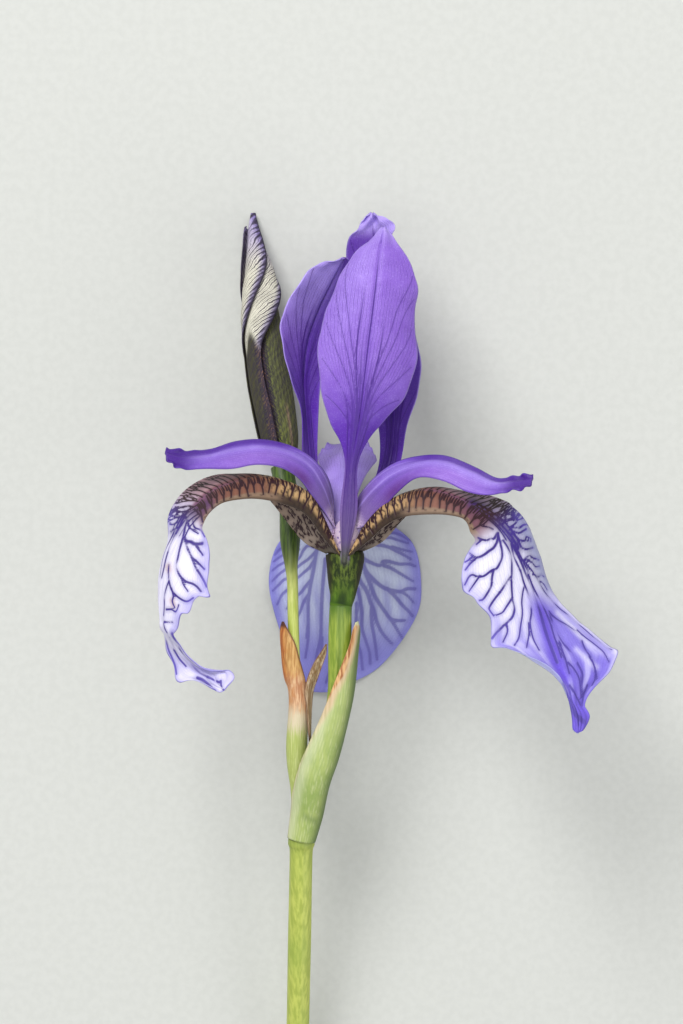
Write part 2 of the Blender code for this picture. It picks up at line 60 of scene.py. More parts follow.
# ---------------------------------------------------------------------------------------
# Camera, light and table. The flower lies on a pale matt sheet, seen straight from above
# through a long lens, under a large soft window at its head and a weaker one at its side.
VIEW_CENTRE = HEART + np.array([-0.07, 6.14, 0.0]) * MM
VIEW_HEIGHT = 146.3 * MM
LENS = 300.0
SENSOR = 36.0
camera_data = bpy.data.cameras.new("camera")
camera_data.lens = LENS
camera_data.sensor_width = SENSOR
camera = bpy.data.objects.new("camera", camera_data)
camera.location = VIEW_CENTRE + np.array([0.0, 0.0, VIEW_HEIGHT * LENS / SENSOR])
scene.collection.objects.link(camera)
scene.camera = camera
scene.view_settings.view_transform = "Standard"


def window(name, place, size, watts):
    """A square area light of one size, aimed from its place at the heart."""
    data = bpy.data.lights.new(name, "AREA")
    data.size = size
    data.energy = watts
    light = bpy.data.objects.new(name, data)
    light.location = place
    aim = type(light.location)(tuple(HEART)) - light.location
    light.rotation_euler = aim.to_track_quat("-Z", "Y").to_euler()
    scene.collection.objects.link(light)


window("window_at_head", (-0.4, 0.8, 0.9), size=0.6, watts=15.0)
window("window_at_side", (0.7, -0.35, 0.6), size=0.6, watts=2.6)
window("window_above", (-0.1, -0.1, 1.5), size=0.9, watts=5.5)


def paint(red, green, blue):
    """A colour given in screen values from 0 to 255, as the linear values a shader takes."""
    screen = np.array([red, green, blue]) / 255.0
    linear = np.where(screen <= 0.04045, screen / 12.92, ((screen + 0.055) / 1.055) ** 2.4)
    return (*linear.tolist(), 1.0)


class Value:
    """A socket in a shader's tree. The signs + - * and abs each add a node that works it out."""

    def __init__(self, socket):
        self.socket = socket
        self.tree = socket.id_data

    def __add__(self, other):
        return maths("ADD", self, other)

    def __sub__(self, other):
        return maths("SUBTRACT", self, other)

    def __mul__(self, other):
        return maths("MULTIPLY", self, other)

    def __abs__(self):
        return maths("ABSOLUTE", self)


def add(tree, kind, inputs=None, **settings):
    """A shader node's outputs: settings first, then its inputs, each linked or set."""
    made = tree.nodes.new("ShaderNode" + kind)
    for key, value in settings.items():
        setattr(made, key, value)
    for key, value in (inputs or {}).items():
        if isinstance(value, Value):
            tree.links.new(value.socket, made.inputs[key])
        else:
            made.inputs[key].default_value = value
    return [Value(socket) for socket in made.outputs]


def matt(name, roughness):
    """A new material with only its Principled shader, and its tree."""
    material = bpy.data.materials.new(name)
    material.use_nodes = True
    tree = material.node_tree
    tree.nodes["Principled BSDF"].inputs["Roughness"].default_value = roughness
    return material, tree


def finished(material, colour, height=None, strength=0.0, depth=0.0):
    """The material with its colour and a relief that is a number of millimetres deep."""
    tree = material.node_tree
    inputs = tree.nodes["Principled BSDF"].inputs
    tree.links.new(colour.socket, inputs["Base Color"])
    if height:
        relief = {"Height": height, "Strength": strength, "Distance": depth * MM}
        tree.links.new(add(tree, "Bump", relief)[0].socket, inputs["Normal"])
    return material


def blend(share, one, other):
    """The colour between one and the other by a share from 0 to 1. Each is a value, or three
    screen values from 0 to 255."""
    one, other = (c if isinstance(c, Value) else paint(*c) for c in (one, other))
    return add(share.tree, "Mix", {0: share, 6: one, 7: other}, data_type="RGBA")[2]


def layered(ground, *layers):
    """A ground that each layer (share, colour) in turn covers by its share."""
    for share, colour in layers:
        ground = blend(share, ground, colour)
    return ground


def noise(tree, scale, detail=2.0, roughness=0.5, squash=1.0, turned=0.0):
    """Cloudy noise from 0 to 1 at a number of lumps per metre, drawn out along y where it is
    squashed, after a turn about z."""
    place = Value(tree.nodes.new("ShaderNodeTexCoord").outputs["Object"])
    if squash != 1.0:
        drawn_out = {"Vector": place, "Rotation": (0.0, 0.0, turned), "Scale": (1.0, squash, 1.0)}
        place = add(tree, "Mapping", drawn_out)[0]
    inputs = {"Vector": place, "Scale": scale, "Detail": detail, "Roughness": roughness}
    return add(tree, "TexNoise", inputs)[0]


def stretch(value, low, high, to_low=0.0, to_high=1.0):
    """A value carried smoothly from low..high onto to_low..to_high, and held at the ends."""
    inputs = {"Value": value, "From Min": low, "From Max": high, "To Min": to_low, "To Max": to_high}
    return add(value.tree, "MapRange", inputs, interpolation_type="SMOOTHSTEP")[0]


def maths(operation, one, other=0.0, third=0.0):
    """One arithmetic step on values."""
    return add(one.tree, "Math", {0: one, 1: other, 2: third}, operation=operation)[0]


def scaled(value, factor, start):
    """value factor + start."""
    return maths("MULTIPLY_ADD", value, factor, start)


TABLE_SIDE = 6.0
TABLE_GREY = (184, 185, 180)
TABLE_PALE = (188, 189, 184)
table_mesh = bpy.data.meshes.new("table")
reach = TABLE_SIDE / 2
corners = [(-reach, -reach, 0), (reach, -reach, 0), (reach, reach, 0), (-reach, reach, 0)]
table_mesh.from_pydata(corners, [], [(0, 1, 2, 3)])
table = bpy.data.objects.new("table", table_mesh)
scene.collection.objects.link(table)
table_finish, tree = matt("table_matt", roughness=0.8)
paper = stretch(noise(tree, 900.0), 0.3, 0.7)
table_mesh.materials.append(finished(table_finish, blend(paper, TABLE_GREY, TABLE_PALE)))

ROOM_WHITE = paint(238, 240, 242)
ROOM_STRENGTH = 0.62
world = bpy.data.worlds.new("room")
world.use_nodes = True
background = world.node_tree.nodes["Background"].inputs
background["Color"].default_value = ROOM_WHITE
background["Strength"].default_value = ROOM_STRENGTH
scene.world = world

# ---------------------------------------------------------------------------------------
# Flower stem: a fresh green flowering stem, faintly ribbed, a little swollen at the node
# where the spathes grow. It is cut square, so its lower end shows the pale pith.

# In millimetres about the heart: its radii, the heights of its ends, its x at the top, its
# lean sideways per height, and the height below which it sinks towards the table.
STEM_RADIUS = 1.65
NODE_RADIUS = 1.9
STEM_TOP = -40.6
STEM_CUT = -82.0
STEM_SIDE = -5.8
STEM_LEAN = 0.02
STEM_LEVEL_TO = -8.0
STEM_DROOP = 0.0288
STEM_RIBS = 11


def smooth_line(points, count):
    """Rows on the Catmull-Rom curve through every point: 0.5 (2 p1 + (p2 - p0) t
    + (2 p0 - 5 p1 + 4 p2 - p3) t^2 + (3 p1 - p0 - 3 p2 + p3) t^3), evenly spaced in t."""
    points = np.array(points, float)
    padded = np.vstack([2 * points[0] - points[1], points, 2 * points[-1] - points[-2]])
    place = np.linspace(0, len(points) - 1, count)
    first = np.minimum(place.astype(int), len(points) - 2)
    t = (place - first)[:, None]
    before, start, end, after = (padded[first + step] for step in range(4))
    return 0.5 * (
        2 * start
        + (end - before) * t
        + (2 * before - 5 * start + 4 * end - after) * t**2
        + (3 * start - before - 3 * end + after) * t**3
    )


def bump_at(place, middle, width):
    """A bell of height 1: exp(-((place - middle) / width)^2)."""
    return np.exp(-(((place - middle) / width) ** 2))


def steps(value, low, high):
    """A smooth rise from 0 at low to 1 at high: 3 t^2 - 2 t^3."""
    t = np.clip((value - low) / (high - low), 0.0, 1.0)
    return t * t * (3 - 2 * t)


def stalk_skin(path, sides, relief):
    """Rings round a path of (x, y, z, radius): centre + radius (1 + relief) (side cos a
    + up sin a), where side is square to the path and level, and up is square to both."""
    centre = path[:, None, :3]
    along = np.gradient(path[:, :3], axis=0)
    along /= np.linalg.norm(along, axis=1, keepdims=True)
    side = np.cross(along, [0.0, 0.0, 1.0])
    side /= np.linalg.norm(side, axis=1, keepdims=True)
    up = np.cross(side, along)
    angle = np.linspace(0, 2 * np.pi, sides, endpoint=False)[None, :]
    radius = (path[:, 3:4] * (1 + relief(angle, path)))[..., None]
    ring = side[:, None] * np.cos(angle)[..., None] + up[:, None] * np.sin(angle)[..., None]
    return HEART + MM * (centre + radius * ring)


def quads_of(index):
    """The four corners of each cell of a grid of point numbers."""
    cells = [index[:-1, :-1], index[:-1, 1:], index[1:, 1:], index[1:, :-1]]
    return np.stack(cells, axis=-1).reshape(-1, 4)


def closed_ring_skin(name, rings):
    """A closed body over rings of points: its last column joins its first, and each end
    closes in a fan on the ring's middle. Faces are turned to point outwards."""
    rows, sides = rings.shape[:2]
    index = np.arange(rows * sides).reshape(rows, sides)
    joined = np.hstack([index, index[:, :1]])
    low_middle = rows * sides
    fans = np.concatenate([
        np.stack([joined[0, 1:], joined[0, :-1], np.full(sides, low_middle)], axis=-1),
        np.stack([joined[-1, :-1], joined[-1, 1:], np.full(sides, low_middle + 1)], axis=-1),
    ])
    quads = quads_of(joined)
    points = np.concatenate([rings.reshape(-1, 3), rings[:1].mean(1), rings[-1:].mean(1)])
    outward = np.cross(
        points[quads[:, 1]] - points[quads[:, 0]], points[quads[:, 3]] - points[quads[:, 0]]
    )
    if (outward * (points[quads[:, 0]] - points.mean(0))).sum() < 0:
        quads = quads[:, ::-1]
        fans = fans[:, ::-1]
    mesh = bpy.data.meshes.new(name)
    mesh.from_pydata(points, [], quads.tolist() + fans.tolist())
    mesh.shade_smooth()
    return mesh


def stamp(mesh, name, values):
    """Three numbers on every point of a mesh, for its material to read by name."""
    attribute = mesh.attributes.new(name, "FLOAT_VECTOR", "POINT")
    attribute.data.foreach_set("vector", np.asarray(values, np.float32).ravel())


def ring_lie(rings):
    """(share up the stalk, share round it folded to 0..1..0, 0) on every ring point and both
    end middles; folding keeps the two sides of the seam alike."""
    rows, sides = rings.shape[:2]
    share = np.linspace(0, 1, rows)[:, None] + np.zeros((1, sides))
    around = 1 - np.abs(2 * np.arange(sides) / sides - 1)[None, :] + np.zeros((rows, 1))
    lie = np.stack([share, around, np.zeros_like(share)], axis=-1).reshape(-1, 3)
    return np.concatenate([lie, [[0.0, 0.0, 1.0], [1.0, 0.0, 1.0]]])


def stalk(name, path, sides, relief):
    """The closed skin round a path, with its lie stamped on it."""
    rings = stalk_skin(path, sides, relief)
    mesh = closed_ring_skin(name, rings)
    stamp(mesh, "lie", ring_lie(rings))
    return mesh


def seat(mesh, material, node):
    """Make the piece that stands for a CAD node: it rides on the root body and takes the given
    material, and the node's own part is hidden."""
    piece = bpy.data.objects.new(mesh.name, mesh)
    scene.collection.objects.link(piece)
    mesh.materials.append(material)
    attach(piece, "root")
    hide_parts(node)


def stem_path(rows):
    """The stem's line: it leans a little sideways, sinks towards the table by
    STEM_DROOP (STEM_LEVEL_TO - height)^1.5, and swells towards its top as a bell, with a
    narrow collar just below it."""
    heights = np.linspace(STEM_TOP, STEM_CUT, rows)
    sideways = STEM_SIDE + STEM_LEAN * (heights - STEM_TOP)
    depth = -STEM_DROOP * (STEM_LEVEL_TO - heights) ** 1.5
    radius = STEM_RADIUS + (NODE_RADIUS - STEM_RADIUS) * bump_at(heights, STEM_TOP, 1.2)
    radius += 0.13 * bump_at(heights, STEM_TOP - 0.9, 0.35)
    return np.stack([sideways, heights, depth, radius], axis=-1)


def stem_relief(angle, path):
    """Low ribs down the stem, cos of STEM_RIBS turns, and a slow waver along it."""
    return 0.012 * np.cos(STEM_RIBS * angle) + 0.01 * np.sin(0.31 * path[:, 1:2] + 2 * angle)


def read(tree, name):
    """The three numbers stamped on the mesh under a name, as values."""
    return add(tree, "SeparateXYZ", {0: add(tree, "Attribute", attribute_name=name)[1]})


def stem_material():
    """Fresh yellow-green skin with fine lengthwise streaks, and pale pith where it is cut."""
    material, tree = matt("stem_green", roughness=0.5)
    up, _, cut = read(tree, "lie")
    streaks = noise(tree, 2600.0, 3.0, squash=0.05)
    skin = layered(
        blend(stretch(streaks, 0.35, 0.65), (150, 162, 66), (178, 186, 86)),
        (stretch(noise(tree, 160.0, 3.0), 0.4, 0.75, 0.0, 0.5), (136, 156, 62)),
        (stretch(up, 0.0, 0.05, 0.55, 0.0), (112, 132, 50)),
        (stretch(cut, 0.12, 0.3), (206, 214, 168)),
    )
    return finished(material, skin, streaks, strength=0.35, depth=0.08)


mesh = stalk("cut_stem", stem_path(rows=140), sides=66, relief=stem_relief)
seat(mesh, stem_material(), "flower_stem")

# ---------------------------------------------------------------------------------------
# Spathes: two bracts that grow from the node. The outer one is fleshy and green, finely
# ribbed, with a dry papery margin; the inner one wraps the bud's stalk and has dried to
# brown paper at its top; a small papery lobe stands between the two stalks.

# Stations up a sheath: (height y, axis x, axis z, radius, first and last angle).
OUTER_SPATHE = [
    (-40.8, -5.86, -5.36, 1.9, 170, -150), (-37, -5.14, -4.6, 2.22, 170, -130),
    (-34.4, -4.7, -3.95, 2.4, 166, -105), (-31, -3.95, -3.2, 2.5, 158, -98),
    (-27.3, -2.65, -2.45, 2.4, 150, -95), (-23.7, -1.5, -1.75, 2.25, 137, -92),
    (-20.1, -0.7, -1.2, 2.2, 121, -90), (-16, -0.35, -0.65, 2.4, 89, -85),
    (-12.6, -0.3, -0.3, 2.65, 60, -55), (-10.4, -0.25, -0.1, 2.65, 46, -28), (-9.4, -0.2, 0, 2.4, 26, -5),
]
INNER_SPATHE = [
    (-39.9, -6.15, -5.4, 0.88, 62, 298), (-37, -6.1, -4.85, 0.95, 52, 308),
    (-34, -6.1, -4.65, 1.1, 42, 318), (-30, -6.35, -4.45, 1.38, 25, 335),
    (-26.6, -6.4, -4.25, 1.45, 15, 345), (-22, -6.25, -4.2, 1.35, 12, 348), (-19, -6.4, -4.3, 1.3, 15, 345),
    (-17.3, -6.7, -4.4, 1.5, 35, 320), (-15.1, -6.95, -4.5, 1.6, 58, 290),
    (-12.6, -7.05, -4.65, 1.65, 80, 265), (-10.6, -7.1, -4.8, 1.6, 118, 225),
    (-9.6, -7.1, -4.85, 1.45, 150, 200),
]
# A petal or lobe is drawn by three lines from its seat to its tip, near margin, midrib and far
# margin, through (x, y, z) places in millimetres about the heart; near is towards +Z.
BRACTEOLE = {
    "near": [(-4.7, -26.8, -2.95), (-4.95, -24, -2.8), (-5.1, -21.6, -2.7), (-5.35, -19.7, -2.65),
        (-5, -17.8, -2.65), (-4.1, -15.6, -2.6), (-2.95, -13.8, -2.7), (-2.35, -12.8, -2.8)],
    "midrib": [(-4.55, -26.8, -3.3), (-4.65, -24, -3.3), (-4.7, -21.6, -3.4), (-4.6, -19.4, -3.55),
        (-4.1, -17.6, -3.4), (-3.4, -15.8, -3.3), (-2.6, -14, -3.1), (-2.25, -12.8, -3)],
    "far": [(-4.45, -26.8, -3.7), (-4.4, -24, -3.8), (-4.3, -21.6, -4.1), (-4.1, -19.6, -4.3),
        (-3.5, -17.8, -3.9), (-2.9, -16.1, -3.6), (-2.3, -14.4, -3.3), (-2.15, -12.8, -3.2)],
}


def softened(lines, share):
    """Rows smoothed along their length by a bell that spans a share of them, with the line
    carried straight on past both ends so that the ends stay where they are."""
    reach = max(1, int(len(lines) * share))
    weight = np.exp(-2 * (np.arange(-reach, reach + 1) / reach) ** 2)
    weight /= weight.sum()
    ahead = 2 * lines[:1] - lines[reach:0:-1]
    behind = 2 * lines[-1:] - lines[-2:-reach - 2:-1]
    longer = np.vstack([ahead, lines, behind])
    columns = [np.convolve(column, weight, "valid") for column in longer.T]
    return np.stack(columns, axis=-1)


def wrapped(stations, share):
    """Points round a bending axis: centre + radius (cos a, 0, sin a), with each section
    sheared to stand square to the axis, and a running from the first to the last angle."""
    y, axis_x, axis_z, radius, first, last = stations.T[:, :, None]
    angle = np.radians(first + (last - first) * share)
    rise = np.gradient(y[:, 0])[:, None]
    x = radius * np.cos(angle)
    z = radius * np.sin(angle)
    lean = x * np.gradient(axis_x[:, 0])[:, None] + z * np.gradient(axis_z[:, 0])[:, None]
    points = np.stack([axis_x + x, y - lean / rise, axis_z + z], axis=-1)
    return HEART + MM * points, angle


def facing(points):
    """Unit normals of a grid of points: (step across) x (step along), made length 1."""
    normal = np.cross(np.gradient(points, axis=1), np.gradient(points, axis=0))
    return normal / np.maximum(np.linalg.norm(normal, axis=-1, keepdims=True), 1e-15)


def length_along(line):
    """The distance of each point of a line from its first, along the line."""
    return np.pad(np.cumsum(np.linalg.norm(np.diff(line, axis=0), axis=-1)), (1, 0))


def spans(points):
    """Millimetres from the first margin, from the last margin and from the foot, added up
    along the grid's own lines."""
    across = np.linalg.norm(np.diff(points, axis=1), axis=-1) / MM
    from_first = np.pad(np.cumsum(across, axis=1), ((0, 0), (1, 0)))
    along = length_along(points[:, points.shape[1] // 2]) / MM
    from_foot = along[:, None] + np.zeros_like(from_first)
    return np.stack([from_first, from_first[:, -1:] - from_first, from_foot], axis=-1)


def leaf(name, middle, thickness, lie, **stamps):
    """A closed thin body on a grid: middle + and - normal thickness / 2, with a rim of
    faces between the two sheets. lie holds (along, across), to which the side is added: 0 on
    the sheet that faces along the normals and 1 on the other. Each stamp is three numbers per
    grid point, for both sheets alike or one set for each."""
    rows, columns = middle.shape[:2]
    half = facing(middle) * (thickness * MM / 2)[..., None]
    points = np.concatenate([(middle + half).reshape(-1, 3), (middle - half).reshape(-1, 3)])
    count = rows * columns
    index = np.arange(count).reshape(rows, columns)
    edge = np.concatenate([index[0, :-1], index[:-1, -1], index[-1, :0:-1], index[:0:-1, 0]])
    following = np.roll(edge, -1)
    rim = np.stack([following, edge, edge + count, following + count], axis=-1)
    quads = quads_of(index)
    faces = np.concatenate([quads, quads[:, ::-1] + count, rim])
    mesh = bpy.data.meshes.new(name)
    mesh.from_pydata(points, [], faces.tolist())
    mesh.shade_smooth()
    along, across = (np.broadcast_to(value, (rows, columns)) for value in lie)
    sheet = np.stack([along, across, np.zeros((rows, columns))], axis=-1)
    stamp(mesh, "lie", np.stack([sheet, sheet + [0.0, 0.0, 1.0]]))
    stamp(mesh, "edges", np.stack([spans(middle)] * 2))
    for key, values in stamps.items():
        stamp(mesh, key, np.broadcast_to(values, (2, rows, columns, 3)))
    return mesh


def sheath(name, stations, rows, columns, turn, wall, margin):
    """A bract on its stations: its wall thins from the middle to both margins as
    margin + (wall - margin) (1 - c^4), where c runs from -1 to 1 across, and it wavers a little."""
    lines = softened(smooth_line(stations, rows), 0.03)
    share = np.linspace(0, 1, columns)[None, ::turn]
    points, angle = wrapped(lines, share)
    across = 2 * share - 1
    up = np.linspace(0, 1, rows)[:, None]
    waver = 0.05 * np.sin(9 * up + 5 * across) + 0.04 * np.sin(23 * up - 3 * across)
    points = points + facing(points) * (waver * MM)[..., None]
    thickness = margin + (wall - margin) * (1 - across**4) + np.zeros((rows, 1))
    return leaf(name, points, thickness, (up, angle / (2 * np.pi)))


def petal_grid(lines, rows, columns, turn=1):
    """The middle surface of a petal, in millimetres about the heart: each row a parabola
    near v (v - 1) / 2 + midrib (1 - v^2) + far v (v + 1) / 2. Also v, from -1 at the near
    margin to 1 at the far one, and the share u up the petal."""
    rails = [softened(smooth_line(lines[key], rows), 0.025) for key in ("near", "midrib", "far")]
    near, midrib, far = (rail[:, None] for rail in rails)
    v = turn * np.linspace(-1, 1, columns)[None, :]
    w = v[..., None]
    points = near * w * (w - 1) / 2 + midrib * (1 - w**2) + far * w * (w + 1) / 2
    return points, np.linspace(0, 1, rows)[:, None], v


def ribs(place, count, sharp):
    """Fine parallel lines: a power of the cosine of count turns of a place."""
    wave = scaled(maths("COSINE", place * (2 * np.pi * count)), 0.5, 0.5)
    return maths("POWER", wave, sharp)


def green_bract():
    """Fleshy green bract: fine faint veins, a dark band of painted shade down its right edge
    where it turns away, painted shade in a soft crease across it, and a dry left margin that is
    a white line below and streaked orange-brown paper above."""
    material, tree = matt("spathe_green", roughness=0.55)
    up, turn, inside = read(tree, "lie")
    from_first, _, from_foot = read(tree, "edges")
    grain = noise(tree, 2600.0, 3.0, squash=0.06)
    clouds = noise(tree, 260.0, 3.0)
    veins = ribs(turn + clouds * 0.02, 38, 2.0) * stretch(grain, 0.35, 0.6)
    streaked = stretch(grain, 0.38, 0.6)
    white = blend(streaked, (168, 168, 122), (204, 196, 158))
    white = blend(stretch(up, 0.42, 0.6, 0.0, 0.6), white, (200, 160, 126))
    orange = blend(streaked, (150, 88, 40), (208, 164, 112))
    gap = from_first + scaled(clouds, 0.9, -0.45)
    white_wide = stretch(up, 0.3, 0.7, 0.4, 1.3)
    dry_wide = stretch(up, 0.5, 0.68, -0.5, 0.75) * stretch(up, 1.0, 0.9)
    # Painted shade in a soft crease that runs across the bract above the node.
    painted_crease_shade = stretch(abs(scaled(turn, -5.0, from_foot) - 2.7), 1.1, 0.0)
    painted_crease_shade = painted_crease_shade * stretch(abs(turn - 0.2), 0.14, 0.04)
    flesh = layered(
        blend(stretch(clouds, 0.35, 0.65), (134, 154, 78), (158, 172, 96)),
        (stretch(up, 0.3, 0.8), (160, 172, 104)),
        (stretch(grain, 0.45, 0.68, 0.0, 0.5), (188, 194, 140)),
        (veins * 0.4, (112, 140, 62)),
        (stretch(turn - up * -0.12, 0.3, 0.4, 0.0, 0.5), (202, 206, 170)),
        # Painted shade: a dark band down the right edge, where the bract turns away from the light.
        (stretch(abs(turn + 0.012), 0.2, 0.05, 0.0, 0.85), (56, 84, 26)),
        (stretch(gap - white_wide, 0.5, -0.4), white),
        (stretch(gap - dry_wide, 0.2, -0.15), orange),
        (stretch(up, 0.93, 1.0, 0.0, 0.8), (196, 206, 160)),
        (inside * 0.6, (196, 196, 140)),
        (painted_crease_shade * 0.55, (96, 118, 58)),
    )
    return finished(material, flesh, veins * 0.6 + grain, strength=0.45, depth=0.06)


def dry_bract():
    """Bract that is pale green flesh at its foot and dries upwards through a whitish band
    into streaked pinkish-brown paper, rust-orange on its left with a dark red-brown tip."""
    material, tree = matt("spathe_papery", roughness=0.65)
    turn = read(tree, "lie")[1]
    _, from_last, from_foot = read(tree, "edges")
    grain = noise(tree, 4200.0, 4.0, 0.6, squash=0.08)
    clouds = noise(tree, 500.0, 3.0)
    veins = ribs(turn, 34, 2.0) * stretch(grain, 0.35, 0.6)
    streaked = stretch(grain, 0.4, 0.62)
    flesh = blend(stretch(grain, 0.4, 0.65), (164, 176, 92), (188, 196, 122))
    paper = blend(streaked, (176, 120, 80), (216, 178, 138))
    paper = blend(stretch(clouds, 0.5, 0.65, 0.0, 0.6), paper, (190, 128, 72))
    gold = blend(streaked, (172, 126, 58), (206, 162, 90))
    rust = blend(streaked, (160, 82, 32), (200, 126, 56))
    height = from_foot + scaled(grain, 5.0, -2.5)
    left = turn + scaled(clouds, 0.12, -0.06)
    dark_edge = stretch(from_last, 0.34, 0.08) * stretch(from_foot, 19.5, 21.0)
    colour = layered(
        flesh,
        (veins * 0.35, (140, 160, 76)),
        (stretch(height, 13.5, 16.5), (206, 192, 160)),
        (stretch(height, 16.5, 19.0), paper),
        (stretch(height, 21.5, 24.0, 0.0, 0.75), gold),
        (stretch(height, 20.0, 23.5) * stretch(left, 0.3, 0.42), rust),
        (stretch(from_foot, 29.2, 30.2), (70, 28, 22)),
        (dark_edge * 0.85, (96, 50, 28)),
    )
    return finished(material, colour, grain, strength=0.7, depth=0.09)


def paper_lobe():
    """Small lobe of brownish-pink paper with fine lengthwise streaks, darker at its edges."""
    material, tree = matt("bracteole_paper", roughness=0.7)
    across = read(tree, "lie")[1]
    from_first, from_last, from_foot = read(tree, "edges")
    grain = noise(tree, 5000.0, 4.0, squash=0.12, turned=0.5)
    paper = layered(
        blend(stretch(grain, 0.38, 0.62), (168, 124, 84), (230, 204, 172)),
        (stretch(abs(across), 0.7, 0.1, 0.0, 0.55), (128, 100, 56)),
        (stretch(maths("MINIMUM", from_first, from_last), 0.16, 0.02, 0.0, 0.8), (104, 60, 36)),
        (stretch(from_foot, 1.6, 0.0), (60, 32, 26)),
    )
    return finished(material, paper, grain, strength=0.5, depth=0.06)


mesh = sheath("green_spathe", OUTER_SPATHE, rows=200, columns=90, turn=1, wall=0.3, margin=0.1)
seat(mesh, green_bract(), "outer_spathe")
mesh = sheath("papery_spathe", INNER_SPATHE, rows=200, columns=80, turn=-1, wall=0.24, margin=0.08)
seat(mesh, dry_bract(), "inner_spathe")
points, up, across = petal_grid(BRACTEOLE, rows=90, columns=40)
lobe_wall = 0.08 + 0.14 * (1 - across**2) + 0 * up
mesh = leaf("papery_lobe", HEART + MM * points, lobe_wall, (up, across))
seat(mesh, paper_lobe(), "bracteole")

# ---------------------------------------------------------------------------------------
# Ovary and perianth tube: the three-sided green ovary on its stalk, which runs down inside
# the outer spathe, and the dark green tube that flares from it to carry the petals.

# Stations along a stalk: (x, y, z, radius).
OVARY_PATH = [
    (-0.15, -6.5, 0, 1.54), (-0.17, -7.2, -0.01, 1.6), (-0.3, -11, -0.15, 1.66), (-0.4, -15, -0.55, 1.6),
    (-0.8, -20, -1.25, 1.3), (-2.1, -26, -2.3, 0.9), (-3.8, -33, -3.75, 0.7), (-4.5, -37, -4.6, 0.62),
    (-4.65, -40, -5.3, 0.6),
]
TUBE_PATH = [
    (0.4, 0.45, 0, 1.9), (0.4, 0.4, 0, 2.4), (0.42, 0.1, 0, 2.76), (0.42, -0.8, 0, 2.78),
    (0.33, -2.4, 0, 2.54), (0.22, -4.2, 0, 2.22), (0.12, -5.6, 0, 1.9), (-0.08, -6.7, 0, 1.7),
    (-0.16, -7.1, 0, 1.66), (-0.17, -7.2, 0, 1.62),
]


def ovary_relief(angle, path):
    """Six low ridges in three pairs, with a deeper furrow at the front, cos 3a and cos 6a,
    dying out down the stalk."""
    strength = steps(path[:, 1:2], -28.0, -16.0)
    front = bump_at(np.mod(angle - np.pi / 2 + np.pi, 2 * np.pi) - np.pi, 0.0, 0.14)
    return strength * (0.03 * np.cos(3 * (angle + np.pi / 2)) - 0.012 * np.cos(6 * angle) - 0.08 * front)


def tube_relief(angle, path):
    """Low ridges where the petals' midribs run down the tube, and a waver between them."""
    return 0.025 * np.cos(6 * (angle - np.pi / 2)) + 0.012 * np.sin(5 * angle + path[:, 1:2])


def ovary_material():
    """Shiny lime green with a darker furrow down its middle, fine lengthwise flecks, and painted
    shade darkening both flanks.
    """
    material, tree = matt("ovary_lime", roughness=0.42)
    up, around, _ = read(tree, "lie")
    flecks = noise(tree, 3000.0, 3.0, squash=0.1)
    middle = abs(around - 0.5)
    skin = layered(
        blend(stretch(flecks, 0.35, 0.65), (114, 136, 40), (144, 160, 60)),
        (stretch(middle, 0.09, 0.0, 0.0, 0.65), (92, 118, 20)),
        # Painted shade darkening both flanks.
        (stretch(middle, 0.3, 0.5, 0.0, 0.45), (96, 124, 30)),
        (stretch(up + scaled(flecks, 0.12, -0.06), 0.25, 0.13), (72, 102, 14)),
    )
    return finished(material, skin, flecks, strength=0.3, depth=0.05)


def tube_material():
    """Dark olive tube, brighter green in ragged lengthwise patches, nearly black at the
    waist in front, with a grey-violet tongue where the front petal's claw runs down, and painted
    shade darkening its sides."""
    material, tree = matt("tube_green", roughness=0.6)
    tree.nodes["Principled BSDF"].inputs["Specular IOR Level"].default_value = 0.25
    up, around, _ = read(tree, "lie")
    ragged = noise(tree, 1900.0, 4.0, 0.6, squash=0.35)
    middle = abs(around - 0.5)
    bright = stretch(up, 0.45, 0.75) * stretch(middle, 0.45, 0.2)
    waist = stretch(up, 0.5, 0.72) * stretch(middle, 0.22, 0.02, 0.0, 0.8)
    skin = layered(
        blend(stretch(ragged, 0.42, 0.62), (30, 42, 10), (84, 100, 34)),
        (bright * 0.5, (92, 132, 28)),
        # Painted shade darkening both sides of the tube.
        (stretch(middle, 0.16, 0.34) * stretch(up, 0.9, 0.4), (34, 32, 16)),
        (stretch(up, 0.68, 0.85), (46, 74, 6)),
        (waist * stretch(up, 0.98, 0.82), (16, 34, 4)),
        (stretch(up, 0.8, 0.97), (72, 102, 14)),
        (stretch(up, 0.42, 0.2) * stretch(middle, 0.1, 0.05), (112, 96, 128)),
    )
    return finished(material, skin, ragged, strength=0.4, depth=0.06)


path = softened(smooth_line(OVARY_PATH, 170), 0.02)
mesh = stalk("ovary", path, sides=60, relief=ovary_relief)
seat(mesh, ovary_material(), "flower_ovary")
mesh = stalk("flared_tube", smooth_line(TUBE_PATH, 70), sides=72, relief=tube_relief)
seat(mesh, tube_material(), "perianth_tube")

